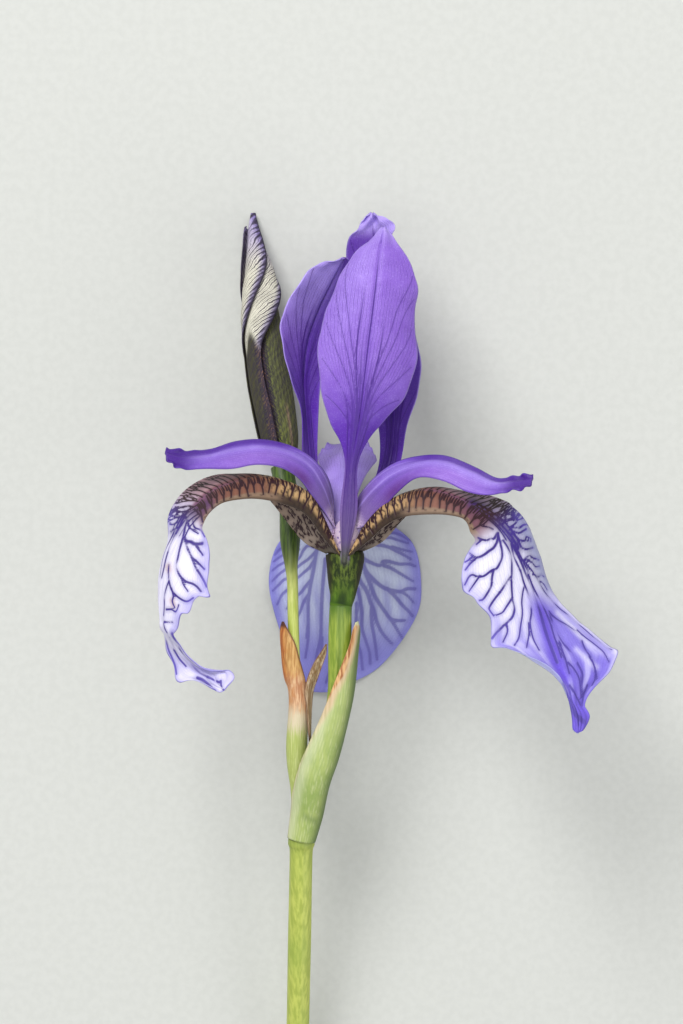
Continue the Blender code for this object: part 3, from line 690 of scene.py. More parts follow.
# ---------------------------------------------------------------------------------------
# Falls: three petals that arch out of the tube on a brown, netted haft and hang down as a
# white blade with dark violet veins that fork towards the margin. The back one shows its
# pale underside. Their seats stand in the tube's rim.
FALL_RIGHT = {
    "near": [(0.95, -0.15, 2.95), (3.7, 1.95, 4.2), (6.4, 4.4, 6.2), (8.9, 5.5, 8.1), (12, 5.8, 10),
        (15.2, 5.7, 11.8), (17.6, 4.8, 13.6), (18.2, 1.2, 15.8), (16.9, -2.8, 17.4), (18.6, -6.8, 18.2),
        (20.9, -12.1, 18.4), (26.8, -14.4, 18.8), (31.2, -18.8, 18.5), (32.6, -24.7, 18)],
    "midrib": [(1.4, 0.2, 2.2), (3.4, 4.1, 2.7), (6.2, 7.2, 3.8), (9.2, 8.8, 5.4), (12.8, 9.2, 7.3),
        (16.2, 8.1, 9.4), (19.4, 6.6, 11.2), (22.3, 4, 12.8), (24.2, -0.2, 13.8), (25.6, -5.4, 14.4),
        (27.8, -10.6, 15.4), (30.8, -15.8, 16.8), (32.6, -20.6, 17.8), (33.6, -24.9, 17.9)],
    "far": [(2.4, 0.3, 0.4), (5.8, 1.9, 0.2), (8.6, 5, 1.4), (11.2, 7.4, 3), (14.6, 9.2, 4.8), (18, 9, 6.8),
        (21.8, 8.2, 8.6), (25.4, 6.2, 10), (27.9, 1.4, 9.6), (30.2, -5.2, 9.4), (35.6, -10.2, 11.2),
        (39, -14, 13.6), (34.9, -20.4, 16.6), (34.2, -24.8, 17.6)],
}
FALL_LEFT = {
    "near": [(-0.35, -0.15, 2.75), (-2.8, 2.6, 4.1), (-5.1, 5.8, 5.6), (-8.4, 7.3, 7.8), (-11.8, 8, 9.8),
        (-14.8, 7.9, 11.5), (-17.4, 7.2, 13), (-19.4, 5, 14.8), (-19.6, 2.2, 16.8), (-18.8, -1.8, 18.2),
        (-18.9, -5.4, 18.6), (-22.2, -8.6, 17), (-23.9, -11.3, 15.4), (-20.9, -15.3, 14.8),
        (-17.6, -16.1, 15.8), (-15.1, -16.7, 16.8)],
    "midrib": [(-0.8, 0.3, 2.2), (-2.6, 4.6, 2.7), (-4.8, 8.6, 3.8), (-8.4, 10.6, 5.3), (-12.2, 11.1, 7.2),
        (-15.4, 10.3, 9), (-18.2, 9.2, 10.7), (-20.5, 7.2, 12.2), (-22.6, 4.2, 13.4), (-24.3, 0.4, 14.2),
        (-25.2, -3.8, 14.4), (-25.2, -7.8, 14.2), (-24.4, -11.5, 13.8), (-21.7, -15.2, 13.6),
        (-18.2, -17.6, 14.6), (-15.7, -18.4, 15.9)],
    "far": [(-2.4, 0.3, 0.4), (-5.4, 1.8, 0.2), (-8.2, 5.2, 1.4), (-10.8, 8.4, 3), (-13.9, 11.1, 4.6),
        (-17.2, 11.5, 6.2), (-20.4, 10.5, 7.8), (-23.2, 8.2, 9.2), (-24.8, 4.6, 9.8), (-25, 0.2, 8.8),
        (-24.2, -4.4, 7.8), (-23.8, -8.8, 8.8), (-24.4, -12.8, 11.2), (-22.9, -17.7, 12.8),
        (-19.4, -18.2, 13.8), (-16.8, -19.4, 15.2)],
}
FALL_BACK = {
    "near": [(-0.85, 0.3, -2.3), (-2, 3.2, -4), (-2.6, 6.2, -6.8), (-2.8, 7.8, -10.4), (-3, 6.8, -14.4),
        (-4.6, 4.8, -17.6), (-9, 2, -19.1), (-10.6, -3.1, -19.4), (-9.9, -8.2, -19.5), (-7.8, -14, -19.5),
        (-4.6, -19.8, -19.2)],
    "midrib": [(0, 0.3, -2.3), (0, 3.6, -3.6), (0, 6.8, -6.2), (0, 8.4, -10), (0, 7.6, -14.2),
        (0, 4.6, -17.6), (0.2, 0.2, -19.4), (0.3, -5, -19.6), (0, -10, -19.6), (-1, -15, -19.5),
        (-2.4, -20, -19.2)],
    "far": [(0.85, 0.3, -2.3), (2, 3.2, -4), (2.6, 6.2, -6.8), (2.8, 7.8, -10.4), (3.2, 6.8, -14.4),
        (5.4, 5.2, -17.6), (10.2, 1.8, -19.1), (11.5, -4.2, -19.4), (10.6, -9.4, -19.5), (5.6, -16.2, -19.5),
        (-0.2, -19.3, -19.2)],
}
# Outlines of the two front blades, seen from the front: from the end of the haft to the tip.
RIGHT_BLADE_LEFT = [
    (19.7, 3.7), (19.3, 2.9), (18.9, 2.1), (18.3, 1.3), (17.9, 0.7), (17.4, -0.1), (17.1, -1), (16.9, -2.1),
    (16.8, -3.3), (16.9, -4.3), (17, -5), (17.6, -5.4), (18.3, -5.7), (18.7, -6), (19, -6.7), (19.7, -7.4),
    (20.4, -8), (20.9, -8.7), (21, -9.6), (21, -11.4), (20.9, -12.9), (21.1, -13), (22.1, -12.9),
    (23, -12.9), (24, -13.3), (25.1, -13.6), (26, -14.1), (27, -14.4), (28, -14.9), (29, -15.4),
    (30, -16.3), (30.7, -17), (31.1, -17.9), (31.6, -19.3), (32, -20.7), (32.3, -22.1), (32.4, -23.3),
    (32.4, -24.6), (33, -24.9),
]
RIGHT_BLADE_RIGHT = [
    (22.6, 7.7), (23.7, 7.1), (24.7, 6.4), (25.4, 5.7), (26.1, 4.7), (26.7, 3.6), (27, 2.7), (27.4, 1.7),
    # Lime green stalk passing into the darker green ovary under the bud, with painted shade darkening both
    # flanks.
    (27.7, 0.7), (28.1, -0.1), (28.4, -1.3), (28.7, -2.4), (29.1, -3.6), (29.6, -4.7), (29.9, -5.3),
    (30.6, -6.3), (31.4, -7.3), (32.6, -8.4), (33.7, -9.6), (34.9, -10.4), (36, -11.4), (37.1, -12.3),
    (38.1, -13.1), (39.1, -13.4), (39, -14), (38.4, -15.3), (37.9, -16.4), (37, -17.3), (35.9, -18.3),
    (35.3, -19), (34.7, -19.7), (34.3, -20.7), (34.1, -21.3), (34.6, -21.7), (35, -22.6), (34.7, -23.4),
    (34.3, -24.1), (33.9, -24.7), (33, -24.9),
]
LEFT_BLADE_RIGHT = [
    (-20, 5), (-19.9, 4), (-19.4, 3.1), (-19, 2.1), (-18.7, 1), (-18.6, -0.1), (-18.7, -1), (-18.7, -2.1),
    # Painted shade darkening both flanks.
    (-18.9, -3.3), (-19, -4.3), (-18.7, -5.3), (-18.4, -5.9), (-19.3, -5.9), (-20.1, -5.6), (-20.6, -6.1),
    (-21, -6.4), (-21.1, -7.1), (-21.4, -7.9), (-21.7, -8.4), (-22.1, -8.1), (-22.6, -8), (-22.7, -8.3),
    (-22.9, -9), (-23, -9.9), (-23.3, -10.6), (-23.9, -11.1), (-23.1, -12.3), (-22.6, -13.1),
    (-21.7, -14.3), (-20.7, -15.1), (-19.7, -15.9), (-18.6, -16.3), (-17.1, -16.3), (-15.9, -16.1),
    (-15.3, -16.6), (-15.1, -17.3), (-15.6, -17.9), (-16.1, -18.4), (-16.6, -19), (-17.1, -19.3),
    (-17.7, -19.1),
]
LEFT_BLADE_LEFT = [
    (-24.3, 7.1), (-24.6, 6.1), (-24.7, 5), (-24.6, 3.6), (-24.6, 2.1), (-24.9, 1), (-25.1, 0.3),
    (-25.4, -0.7), (-25.7, -2.1), (-25.9, -3.6), (-25.9, -5), (-25.9, -6.4), (-25.7, -7.9), (-25.6, -9),
    (-25.4, -10.1), (-25.1, -11.3), (-25, -12.1), (-24.9, -13.3), (-24.6, -14.1), (-24.1, -14.7),
    (-23.7, -15.6), (-23.6, -16.4), (-23.6, -17.3), (-23.3, -17.9), (-22.7, -18), (-22, -17.7),
    (-21.1, -17.6), (-20.1, -17.9), (-19.3, -18.3), (-18.6, -18.7), (-17.7, -19.1),
]
# Veins of the blades, seen from the front: half width at the start and at the end, then the
# line in x and y about the heart, in millimetres.
RIGHT_VEINS = [
    (0.13, 0.1, [(19.3, 7.2), (21, 6.2), (22.6, 5), (24, 3.4), (25.2, 1.4)]),
    (0.13, 0.1, [(19.2, 6.8), (20.8, 5.8), (22.3, 4.5), (23.7, 2.9), (24.9, 1)]),
    (0.13, 0.1, [(19.5, 6.2), (20.8, 5.2), (22.2, 4), (23.4, 2.5), (24.5, 0.8)]),
    (0.13, 0.1, [(20, 5.6), (21.1, 4.7), (22.3, 3.5), (23.1, 2.2)]),
    (0.16, 0.12, [(21.3, 3.7), (20.6, 4), (19.9, 4.1)]),
    (0.17, 0.12, [(21.9, 3.1), (21.4, 2.3), (21, 2.4), (20.4, 2.1), (19.6, 2.3), (19.3, 2.5)]),
    (0.12, 0.09, [(19.6, 2.1), (19, 1.6)]),
    (0.19, 0.14, [(22, 3.1), (21.9, 2), (21.4, 1.1), (20.7, 0.6), (19.9, 0), (19, -0.3), (18.4, 0),
        (18, 0.3)]),
    (0.15, 0.09, [(19, -0.3), (18.1, -1.1), (17.4, -2)]),
    (0.15, 0.09, [(18.4, -0.1), (17.9, -0.6), (17.4, -0.9)]),
    (0.17, 0.1, [(22.1, 2.7), (22.4, 1.4), (22.6, 0), (22.3, -1), (21.7, -1.9), (21.1, -2.1), (20, -2.9),
        (19.1, -3), (18.4, -2.7), (17.9, -3), (17.3, -4.1)]),
    (0.12, 0.07, [(19.4, -2.9), (18.6, -4), (17.9, -5)]),
    (0.16, 0.1, [(21.3, -2.1), (21.1, -3.3), (21, -4.4), (19.9, -6.1), (19.4, -6.3)]),
    (0.16, 0.13, [(22.7, 2.1), (23.4, 1), (23.9, -0.1), (23.9, -1.6), (23.9, -3.1), (23.9, -4.7),
        (24, -6.1)]),
    (0.16, 0.1, [(23.7, -3.1), (23, -4.1), (22.3, -5.1), (21.6, -6), (20.9, -7), (20.7, -7.6),
        (21.3, -8.4)]),
    (0.13, 0.08, [(23.9, -6.1), (23.1, -7.3), (22.6, -8), (21.7, -8.4)]),
    (0.16, 0.15, [(24, -6.1), (24.3, -7.4), (24, -8.6), (23.4, -9.3), (22.6, -10), (21.7, -10.9),
        (21.1, -11.7)]),
    (0.13, 0.08, [(23.1, -9.6), (23.3, -10.7), (22.7, -12.1)]),
    (0.15, 0.1, [(23.9, 1.4), (24.1, -0.1), (24.7, -1.3), (25.3, -2.4), (25.7, -3.9), (26.3, -5.3),
        (26.7, -6.4), (26.7, -7.9), (26.4, -9.3), (26.6, -10.7), (27.1, -12.1), (27.7, -13.3)]),
    (0.1, 0.1, [(25.6, -4.7), (25.3, -6.4), (25.4, -8.1), (25.1, -10), (24.9, -11.6), (24.3, -12.6)]),
    (0.12, 0.08, [(26.3, -9.6), (26.3, -11.3), (26, -12.9)]),
    (0.19, 0.2, [(24.1, 1.3), (25.1, -0.7), (26, -2.7), (26.7, -4.1), (27.3, -5.6), (27.7, -6.9),
        (28, -8.3), (28.4, -9.9), (29, -11.6), (29.6, -13.3), (30.3, -15.1)]),
    (0.12, 0.1, [(26.3, -2.7), (27.1, -4.7), (28.1, -6.4), (29, -8.6), (29.7, -10.7), (30.4, -12.9),
        (30.9, -14.3)]),
    (0.17, 0.13, [(24.4, 1.3), (25.4, -0.7), (26.4, -2.3), (27.3, -3.6), (28.1, -5), (28.7, -6.7),
        (29.3, -8.1), (29.7, -9.9), (30.4, -11.3), (31.1, -12.4), (32, -13.3), (32.7, -14), (33.3, -15.3),
        (33.9, -16.7), (33.7, -18.4), (34, -20.3)]),
    (0.12, 0.09, [(25.6, -0.7), (26.3, -1.6), (27, -2.4), (27.9, -3.6), (28.7, -5.1), (29.9, -6.4),
        (30.9, -7.6), (32, -8.3), (33, -9.1), (34, -10.1), (35.4, -11.3), (36.9, -12.4), (38.1, -13.3)]),
    (0.13, 0.1, [(29.3, -8), (29.7, -8.6), (30.6, -9.3), (31.7, -9.7), (32.6, -10.3), (33.3, -10.7),
        (33.9, -11.3), (34, -12.4), (34.4, -13.6), (35.1, -14.4), (35.7, -15.9), (36, -17.3)]),
    (0.12, 0.08, [(33.3, -10.7), (34.4, -11.6), (35.4, -12.3), (36.4, -13.1), (37.1, -13.9), (37.7, -15)]),
    (0.14, 0.1, [(30.6, -12.1), (31.1, -13.6), (31.6, -15), (32, -16.6)]),
    (0.12, 0.08, [(31.9, -15.1), (32.7, -16), (33.4, -17.3), (33.6, -19), (33.7, -20)]),
    (0.11, 0.08, [(34.9, -14.3), (35.6, -15.7), (35.7, -17.3), (35.3, -18.3)]),
    (0.24, 0.3, [(31.1, -18.1), (31.9, -20), (32.4, -21.6), (33.1, -22.6), (34, -23.4)]),
    (0.12, 0.1, [(32.1, -18.4), (32.9, -19.7), (33.6, -21)]),
    (0.12, 0.1, [(34.6, -18.3), (34.1, -19.6), (33.9, -21.1)]),
    (0.1, 0.08, [(32.7, -21), (33.1, -22.4), (33.3, -23.9)]),
    (0.14, 0.1, [(23.7, 3.9), (24.4, 4.4), (24.9, 5)]),
    (0.17, 0.11, [(23.7, 3.9), (24.6, 3.9), (25.1, 3.9), (25.7, 4.3), (26.3, 4.4)]),
    (0.17, 0.1, [(23.7, 3.6), (24.4, 3.3), (24.9, 3.1), (25.6, 3.4), (26.1, 3.7)]),
    (0.17, 0.1, [(23.9, 3.1), (24.6, 2.6), (25.1, 2.1), (25.9, 2.1), (26.1, 2.6), (26.7, 2.4)]),
    (0.1, 0.07, [(25.9, 2.1), (26.7, 2)]),
    (0.18, 0.1, [(24.1, 2.1), (25, 1.4), (25.7, 0.9), (26.4, 0.9), (27, 1.1)]),
    (0.18, 0.1, [(25.7, -0.7), (26.1, -0.3), (26.6, -0.1), (27.1, -0.4), (27.9, -0.6)]),
    (0.14, 0.09, [(26, -0.7), (26.9, -1), (27.4, -1.6), (28, -1.6)]),
    (0.12, 0.07, [(27, -2.7), (27.7, -2.9), (28.3, -2.8), (28.7, -3.1)]),
    (0.1, 0.07, [(28, -3.6), (28.6, -4.1), (29, -4.9)]),
    (0.18, 0.12, [(20, 6.1), (20.7, 5.9), (21.6, 5.7), (22.6, 5.7), (23.3, 6.3)]),
    (0.18, 0.13, [(20.4, 5.4), (21.6, 5), (22.7, 4.9), (23.9, 5.3), (24.3, 6.1)]),
    (0.15, 0.1, [(20, 6), (21, 6.7), (21.9, 7.3), (22.4, 7.9)]),
    (0.15, 0.1, [(20.1, 6.7), (21, 7.3), (21.6, 7.9)]),
    (0.13, 0.09, [(22.1, 5.9), (22.6, 6.6), (23.3, 7.1)]),
    (0.15, 0.1, [(24, 5), (24.6, 5.4), (25, 5.9)]),
    (0.13, 0.09, [(24, 6), (24.4, 6.6), (24.9, 6.6)]),
    (0.14, 0.09, [(23, 5.3), (23.3, 6), (23.9, 6.7)]),
]
LEFT_VEINS = [
    (0.12, 0.1, [(-20.4, 6.4), (-21.6, 5.6), (-22.6, 4.4), (-23.4, 3)]),
    (0.12, 0.1, [(-20.2, 5.9), (-21.2, 5.2), (-22.1, 4.2), (-22.9, 2.8)]),
    (0.12, 0.1, [(-20.7, 6.9), (-22, 6.2), (-23.2, 5), (-24.2, 3.2)]),
    (0.12, 0.1, [(-20.3, 5.4), (-21, 4.6), (-21.6, 3.8), (-22.2, 2.4)]),
    (0.2, 0.1, [(-22, 5.9), (-22.6, 4.7), (-23, 4), (-23.7, 2.7), (-24.3, 1.4), (-24.6, 0.3), (-24.9, -1),
        (-25.1, -2.1), (-25.4, -3.1)]),
    (0.17, 0.09, [(-22.3, 5.9), (-23, 4.6), (-23.6, 3.6), (-24.1, 2.4), (-24.9, 1), (-25.4, -0.7),
        (-25.7, -2.9)]),
    (0.18, 0.12, [(-21.9, 5), (-22.1, 3.9), (-22.3, 2.9), (-22.6, 1.7), (-22.9, 0.7), (-23.1, -0.4),
        (-23.4, -1.4), (-23.1, -2.3), (-22.6, -3.1), (-21.9, -3.7), (-21, -4), (-20.4, -4.4), (-19.9, -5)]),
    (0.12, 0.07, [(-22.6, -3.1), (-22.3, -4.1), (-21.7, -5)]),
    (0.22, 0.24, [(-22.3, 2.6), (-21.9, 2), (-21.3, 1.9), (-20.7, 1.6), (-19.7, 1.7)]),
    (0.16, 0.1, [(-20.7, 1.6), (-20.3, 1), (-19.6, 0.1)]),
    (0.17, 0.12, [(-22.1, 2), (-21.9, 1.3), (-21.3, 0.1), (-21, -0.7), (-20.6, -1.7), (-20, -2.6),
        (-19.4, -3.6), (-19.1, -4.3)]),
    (0.15, 0.1, [(-21.1, -0.3), (-20.3, -1), (-19.4, -1.9)]),
    (0.15, 0.08, [(-21.7, 4.9), (-21.6, 4.1), (-21.1, 3.6), (-20.3, 3.1)]),
    (0.15, 0.09, [(-20.4, 5.3), (-21, 5.1), (-21.1, 4.6), (-20.7, 3.9), (-20, 3.6), (-19.4, 2.7)]),
    (0.15, 0.1, [(-24.4, -1.4), (-24.4, -2.9), (-24.3, -4), (-23.9, -5), (-23, -5.9), (-22.1, -6.4),
        (-21.6, -6.4), (-21, -6)]),
    (0.13, 0.09, [(-24, -4.7), (-23.7, -5.7), (-23.9, -6.4), (-23.6, -7.3)]),
    (0.11, 0.1, [(-24.4, -3.6), (-24.9, -5), (-25.1, -5.9), (-25, -6.9), (-25, -7.9), (-25.3, -8.9),
        (-25.1, -9.9), (-24.7, -10.9)]),
    (0.13, 0.08, [(-24.7, -7.6), (-24, -7.6), (-23.4, -7.9), (-23, -7)]),
    (0.1, 0.07, [(-25.1, -9.3), (-24.6, -9.4), (-23.9, -9.4)]),
    (0.2, 0.12, [(-24, -11), (-23.4, -12.4), (-22.7, -13.6), (-21.9, -14.7), (-21, -15.7), (-20.1, -16.6),
        (-19.1, -17.1), (-18, -17.6), (-17.3, -17.9)]),
    (0.16, 0.1, [(-24.4, -11.6), (-24, -12.9), (-23.4, -13.9), (-22.9, -14.7), (-22.1, -15.6)]),
    (0.14, 0.1, [(-24.9, -12.1), (-24.6, -13.3), (-24.1, -14.4), (-23.6, -15.6), (-23.4, -16.7)]),
    (0.18, 0.14, [(-20.4, -17.3), (-19.6, -17.6), (-18.6, -18.4), (-17.9, -19)]),
    (0.11, 0.08, [(-17.1, -17.7), (-17, -18.4), (-16.6, -19)]),
    (0.17, 0.12, [(-21.6, 7), (-22.6, 6.7), (-23.4, 6.7), (-24.3, 6.3)]),
    (0.17, 0.12, [(-21.1, 6.4), (-22.3, 5.7), (-23.1, 5.3), (-24, 5.6), (-24.4, 6.3)]),
    (0.15, 0.1, [(-22, 5.1), (-23.1, 4.7), (-23.9, 4.4), (-24.4, 4.4)]),
    (0.15, 0.1, [(-22.6, 4.3), (-23.6, 3.7), (-24.3, 3.4)]),
    (0.12, 0.1, [(-23.6, 8.1), (-24.1, 7.4), (-24.3, 6.3), (-24, 5.6)]),
    (0.12, 0.1, [(-23.4, 6.7), (-24, 6.1)]),
    (0.12, 0.1, [(-20.6, 7.9), (-21.7, 8.3), (-22.7, 8.1), (-23.4, 7.4)]),
]
BACK_VEINS = [
    (0.2, 0.13, [(2.7, -0.1), (3.1, -0.6), (4, -1.1), (5.3, -1.6), (6.1, -1.4)]),
    (0.18, 0.12, [(5.9, -1.1), (6.4, -1), (7.1, -1.1), (8.3, -1.4), (9.7, -1.4), (10.6, -1.7)]),
    (0.17, 0.11, [(6.1, -1.6), (7.1, -2), (8.3, -2.7), (9.3, -3.3), (10.3, -3.9)]),
    (0.2, 0.14, [(2.7, -0.4), (3.4, -2.3), (4.3, -3.4), (5.4, -4.4), (6.4, -5), (7.6, -5.3), (8.6, -5.4),
        (9.4, -5), (10.6, -5)]),
    (0.18, 0.12, [(6.6, -5), (7.7, -6.1), (8.7, -7.3), (9.7, -8.3), (10.3, -9)]),
    (0.14, 0.1, [(8.6, -5.4), (9.6, -6.1), (10.4, -7)]),
    (0.2, 0.13, [(3.4, -2.6), (4.1, -4.4), (4.7, -5.9), (5.4, -7.1), (6.3, -8.4), (7, -9.3), (8, -9.6),
        (9.1, -9.6)]),
    (0.16, 0.11, [(7, -9.3), (7.7, -10.4), (8.4, -11.6), (8.9, -12.4)]),
    (0.2, 0.13, [(2.3, -3.3), (2.7, -4), (3.6, -5.4), (4.1, -6.9), (4.6, -8.1), (5, -9.6), (5.6, -11),
        (6.4, -12.1), (7.3, -13)]),
    (0.17, 0.12, [(4.3, -7.6), (4.3, -9.9), (4.6, -11.6), (4.9, -13.6), (5.1, -15.3)]),
    (0.17, 0.12, [(2.3, -5), (2.6, -6.4), (2.9, -8.6), (2.9, -10.7), (3.4, -12.4), (4, -14.3),
        (4.1, -15.9)]),
    (0.15, 0.12, [(2.1, -7.1), (2.1, -12.1), (2.7, -14.3), (3, -16.7)]),
    (0.17, 0.12, [(5.1, 1.4), (5.9, 1.3), (6.9, 1), (8, 0.4), (9, -0.1), (10, -0.7)]),
    (0.14, 0.1, [(7.3, 1.1), (8.7, 0.7), (10.1, 0.4)]),
    (0.14, 0.1, [(6.1, 2.4), (7.1, 2.4), (8.3, 2), (9.6, 1.6)]),
    (0.13, 0.1, [(6.6, 3.1), (7.7, 3.1), (8.7, 2.7), (9.9, 2)]),
    (0.2, 0.13, [(-3.4, 1.4), (-3.7, 0.4), (-3.9, -0.7), (-4.1, -2.1), (-4.4, -3.6), (-4.7, -5.3),
        (-4.9, -7.1), (-4.9, -9.3), (-5.1, -12.1)]),
    (0.15, 0.1, [(-4, 1), (-4.9, 1.3), (-5.6, 0.6), (-6.1, -0.4), (-6.9, -1.3)]),
    (0.15, 0.1, [(-3.9, -0.7), (-4.7, -1.9), (-5.6, -2.7), (-6.4, -3.4), (-7.4, -4)]),
    (0.14, 0.1, [(-3.9, 0.3), (-4.9, -0.7), (-5.9, -1.4), (-6.9, -2.3), (-7.7, -3.1)]),
    (0.15, 0.1, [(-4.4, -3.6), (-5.3, -4.7), (-6, -5.6), (-7, -6.4), (-8, -7.9)]),
    (0.15, 0.1, [(-4.7, -5.6), (-5.6, -7), (-6.1, -8.4), (-7, -10.1)]),
    (0.17, 0.12, [(-2.4, -0.7), (-2.7, -3.6), (-2.9, -6.4), (-3, -9.3), (-3.1, -12.1), (-3.6, -14.3),
        (-4, -16.7)]),
    (0.13, 0.1, [(-6.6, -0.1), (-8, -1), (-9.1, -1.6), (-10.1, -2.4)]),
    (0.13, 0.1, [(-6.9, -1.3), (-8.3, -2.3), (-9.1, -2.9), (-10.1, -3.9)]),
    (0.13, 0.1, [(-6.3, 0.7), (-7.7, 0.3), (-9, -0.4), (-9.9, -1.1)]),
    (0.13, 0.1, [(-7.4, -3.4), (-8.4, -3.7), (-9.1, -4.4), (-10, -5.3)]),
    (0.13, 0.1, [(-7.7, -5), (-8.7, -5.9), (-9.4, -7.3)]),
    (0.13, 0.1, [(-6.6, 1.3), (-8, 1.3), (-9.1, 0.6), (-9.7, -0.1)]),
    (0.15, 0.12, [(-1.3, -6.4), (-1.1, -12.1), (-1.4, -15.7), (-2.3, -18.6)]),
    (0.14, 0.1, [(-4.9, -9.3), (-4.9, -12.1), (-5.3, -15)]),
    (0.14, 0.1, [(-2.9, -12.1), (-3.1, -15), (-3.9, -17.9)]),
    (0.14, 0.1, [(0.4, -6.4), (1.1, -10.7), (1.4, -14.3), (1.1, -16.7)]),
]
WHITE = paint(238, 234, 253)
WASH = paint(128, 112, 216)
BAND = paint(112, 86, 216)
BUNDLE = paint(58, 36, 112)
VIOLET_INK = paint(58, 38, 128)
FAINT_INK = paint(112, 98, 200)
MAROON_INK = paint(48, 20, 26)
OCHRE = paint(206, 168, 116)
CREAM = paint(238, 224, 182)
TAN = paint(138, 91, 72)
PLUM = paint(124, 80, 92)
DARK_FOOT = paint(44, 38, 20)
BARK = paint(44, 30, 22)
RIDGE = paint(142, 92, 124)
PINK_CELLS = paint(204, 160, 168)
LILAC_CELLS = paint(206, 196, 226)
SOFT_INK = paint(96, 88, 176)
KEEL = paint(142, 116, 94)
FLANGE = paint(168, 150, 136)
# A grey-white painted as shade.
PAINTED_SHADE_WHITE = paint(164, 166, 200)
UNDERSIDE = paint(212, 220, 244)
BLUE_EDGE = paint(124, 118, 214)
RUST = paint(214, 170, 140)
# In millimetres: the least height of a fall's middle surface above the table, the step between
# a vein's samples, how far round a sample its depth is sought, the half width from which a
# vein is wider than the grid's cells, and the part of a distance that is taken off for others.
LEAST_HEIGHT = 0.15
VEIN_STEP = 0.15
DEPTH_REACH = 0.2
WIDE_VEIN = 0.18
VEIN_CORE = 0.09


def flat(points, colour):
    """One colour on every point of a grid."""
    return np.zeros_like(points) + colour[:3]


def washed(ground, *layers):
    """Ground colours moved towards a colour by each layer (share, colour) in turn:
    ground (1 - share) + colour share, with the share held between 0 and 1."""
    for share, colour in layers:
        share = np.clip(share, 0.0, 1.0)[..., None]
        ground = ground * (1 - share) + np.array(colour[:3]) * share
    return ground


def near_line(place, points, width):
    """A soft stripe along a line, seen from the front: exp(-(distance / width)^2)."""
    line = smooth_line(points, 12 * len(points))
    apart = np.linalg.norm(place[..., None, :2] - line, axis=-1)
    return bump_at(apart.min(axis=-1), 0.0, width)


def on_grid(points, up, across):
    """Places on a grid of points at shares up and across it, read between the four corners
    of a cell: (1 - a)(1 - b) p00 + a (1 - b) p10 + (1 - a) b p01 + a b p11."""
    rows, columns = points.shape[:2]
    row = np.clip(up, 0.0, 1.0) * (rows - 1)
    column = np.clip(across, 0.0, 1.0) * (columns - 1)
    r = np.minimum(row.astype(int), rows - 2)
    c = np.minimum(column.astype(int), columns - 2)
    a = (row - r)[:, None]
    b = (column - c)[:, None]
    low = (1 - b) * points[r, c] + b * points[r, c + 1]
    high = (1 - b) * points[r + 1, c] + b * points[r + 1, c + 1]
    return (1 - a) * low + a * high


def vein(line, start, end, strength=1.0):
    """Samples along one vein: x, y, z, half width and strength."""
    count = len(line)
    width = np.linspace(start, end, count)
    return np.column_stack([line, width, np.full(count, strength)])


def traced(points, veins, first_row, wider):
    """Veins drawn in x and y, laid on the petal: each sample takes the depth of the foremost
    point of the grid about 0.2 mm round it, or else of the nearest, smoothed along the vein.
    Rows before the first are left out. wider multiplies the widths."""
    front = points[first_row:].reshape(-1, 3)
    laid = []
    for start, end, places in veins:
        corners = np.array(places, float)
        length = np.linalg.norm(np.diff(corners, axis=0), axis=1).sum()
        line = smooth_line(corners, max(8, int(length / VEIN_STEP)))
        apart = np.linalg.norm(line[:, None] - front[None, :, :2], axis=-1)
        cost = np.maximum(apart - DEPTH_REACH, 0.0) * 10.0 - 0.02 * front[:, 2]
        depth = front[cost.argmin(axis=1), 2:]
        laid.append(vein(np.hstack([line, softened(depth, 0.3)]), wider * start, wider * end))
    return laid


def haft_veins(points, turn, first, last, seed):
    """Short veins across the haft between two shares of its length: on the near half a V that
    opens towards the ridge, on the far half lines that fork towards the margin, zigzags near
    the foot and fine lines along the keel. Places and lengths vary a little."""
    random = np.random.default_rng(seed)
    along = length_along(points[:, points.shape[1] // 2])
    shares = np.linspace(0, 1, len(points))
    laid = []

    def lay(places, start, end, strength=1.0):
        """One vein through (millimetres along, v) places."""
        line = smooth_line(places, 16)
        up = np.interp(line[:, 0], along, shares)
        across = (turn * line[:, 1] + 1) / 2
        laid.append(vein(on_grid(points, up, across), start, end, strength))

    low, high = np.interp([first, last], shares, along)
    place = low
    while place < high:
        foot = random.uniform(-0.66, -0.5)
        lay([(place + random.uniform(-0.25, 0.25), foot - 0.25), (place, foot)], 0.12, 0.17)
        for side in (-0.36, 0.33):
            tip = random.uniform(-0.12, 0.04)
            end = place + side * random.uniform(0.85, 1.15)
            lean = random.uniform(-0.25, 0.1)
            lay([(place, foot), (place + 0.7 * side, foot + 0.17), (end + lean, tip)], 0.16, 0.11)
        if random.random() < 0.5:
            lay([(place + 0.66, -0.4), (place + 0.6, -0.1)], 0.09, 0.11)
        place += random.uniform(1.15, 1.5)
    place = low - 0.8
    while place < high + 1.0:
        lean = random.uniform(0.2, 0.6)
        middle = random.uniform(0.4, 0.6)
        lay([(place, 0.06), (place + lean, middle)], 0.13, 0.14)
        for side in (-0.2, 0.3):
            fork = [(place + lean, middle), (place + 1.5 * lean + side, 0.75)]
            lay([*fork, (place + 2 * lean + side, 0.97)], 0.13, 0.09)
        place += random.uniform(0.8, 1.05)
    place = low - 0.6
    while place < low + 3.6:
        heights = random.uniform(-0.75, 0.3, 4)
        lay([(place + 0.25 * step, height) for step, height in enumerate(heights)], 0.16, 0.12)
        place += 0.62
    lay([(low, -0.9), ((low + high) / 2, -0.88), (high, -0.9)], 0.08, 0.1, 0.5)
    return laid


def dots(points, turn, first, last, count, seed):
    """Small round spots on the far half's underside, strewn evenly at random."""
    random = np.random.default_rng(seed)
    up = random.uniform(first, last, count)
    across = (turn * random.uniform(0.1, 1.0, count) + 1) / 2
    spots = on_grid(points, up, across)
    step = on_grid(points, up + 0.002, across) - spots
    ends = spots + step * random.uniform(0.5, 3.0, count)[:, None]
    return [vein(np.stack([spot, end]), 0.11, 0.08) for spot, end in zip(spots, ends)]


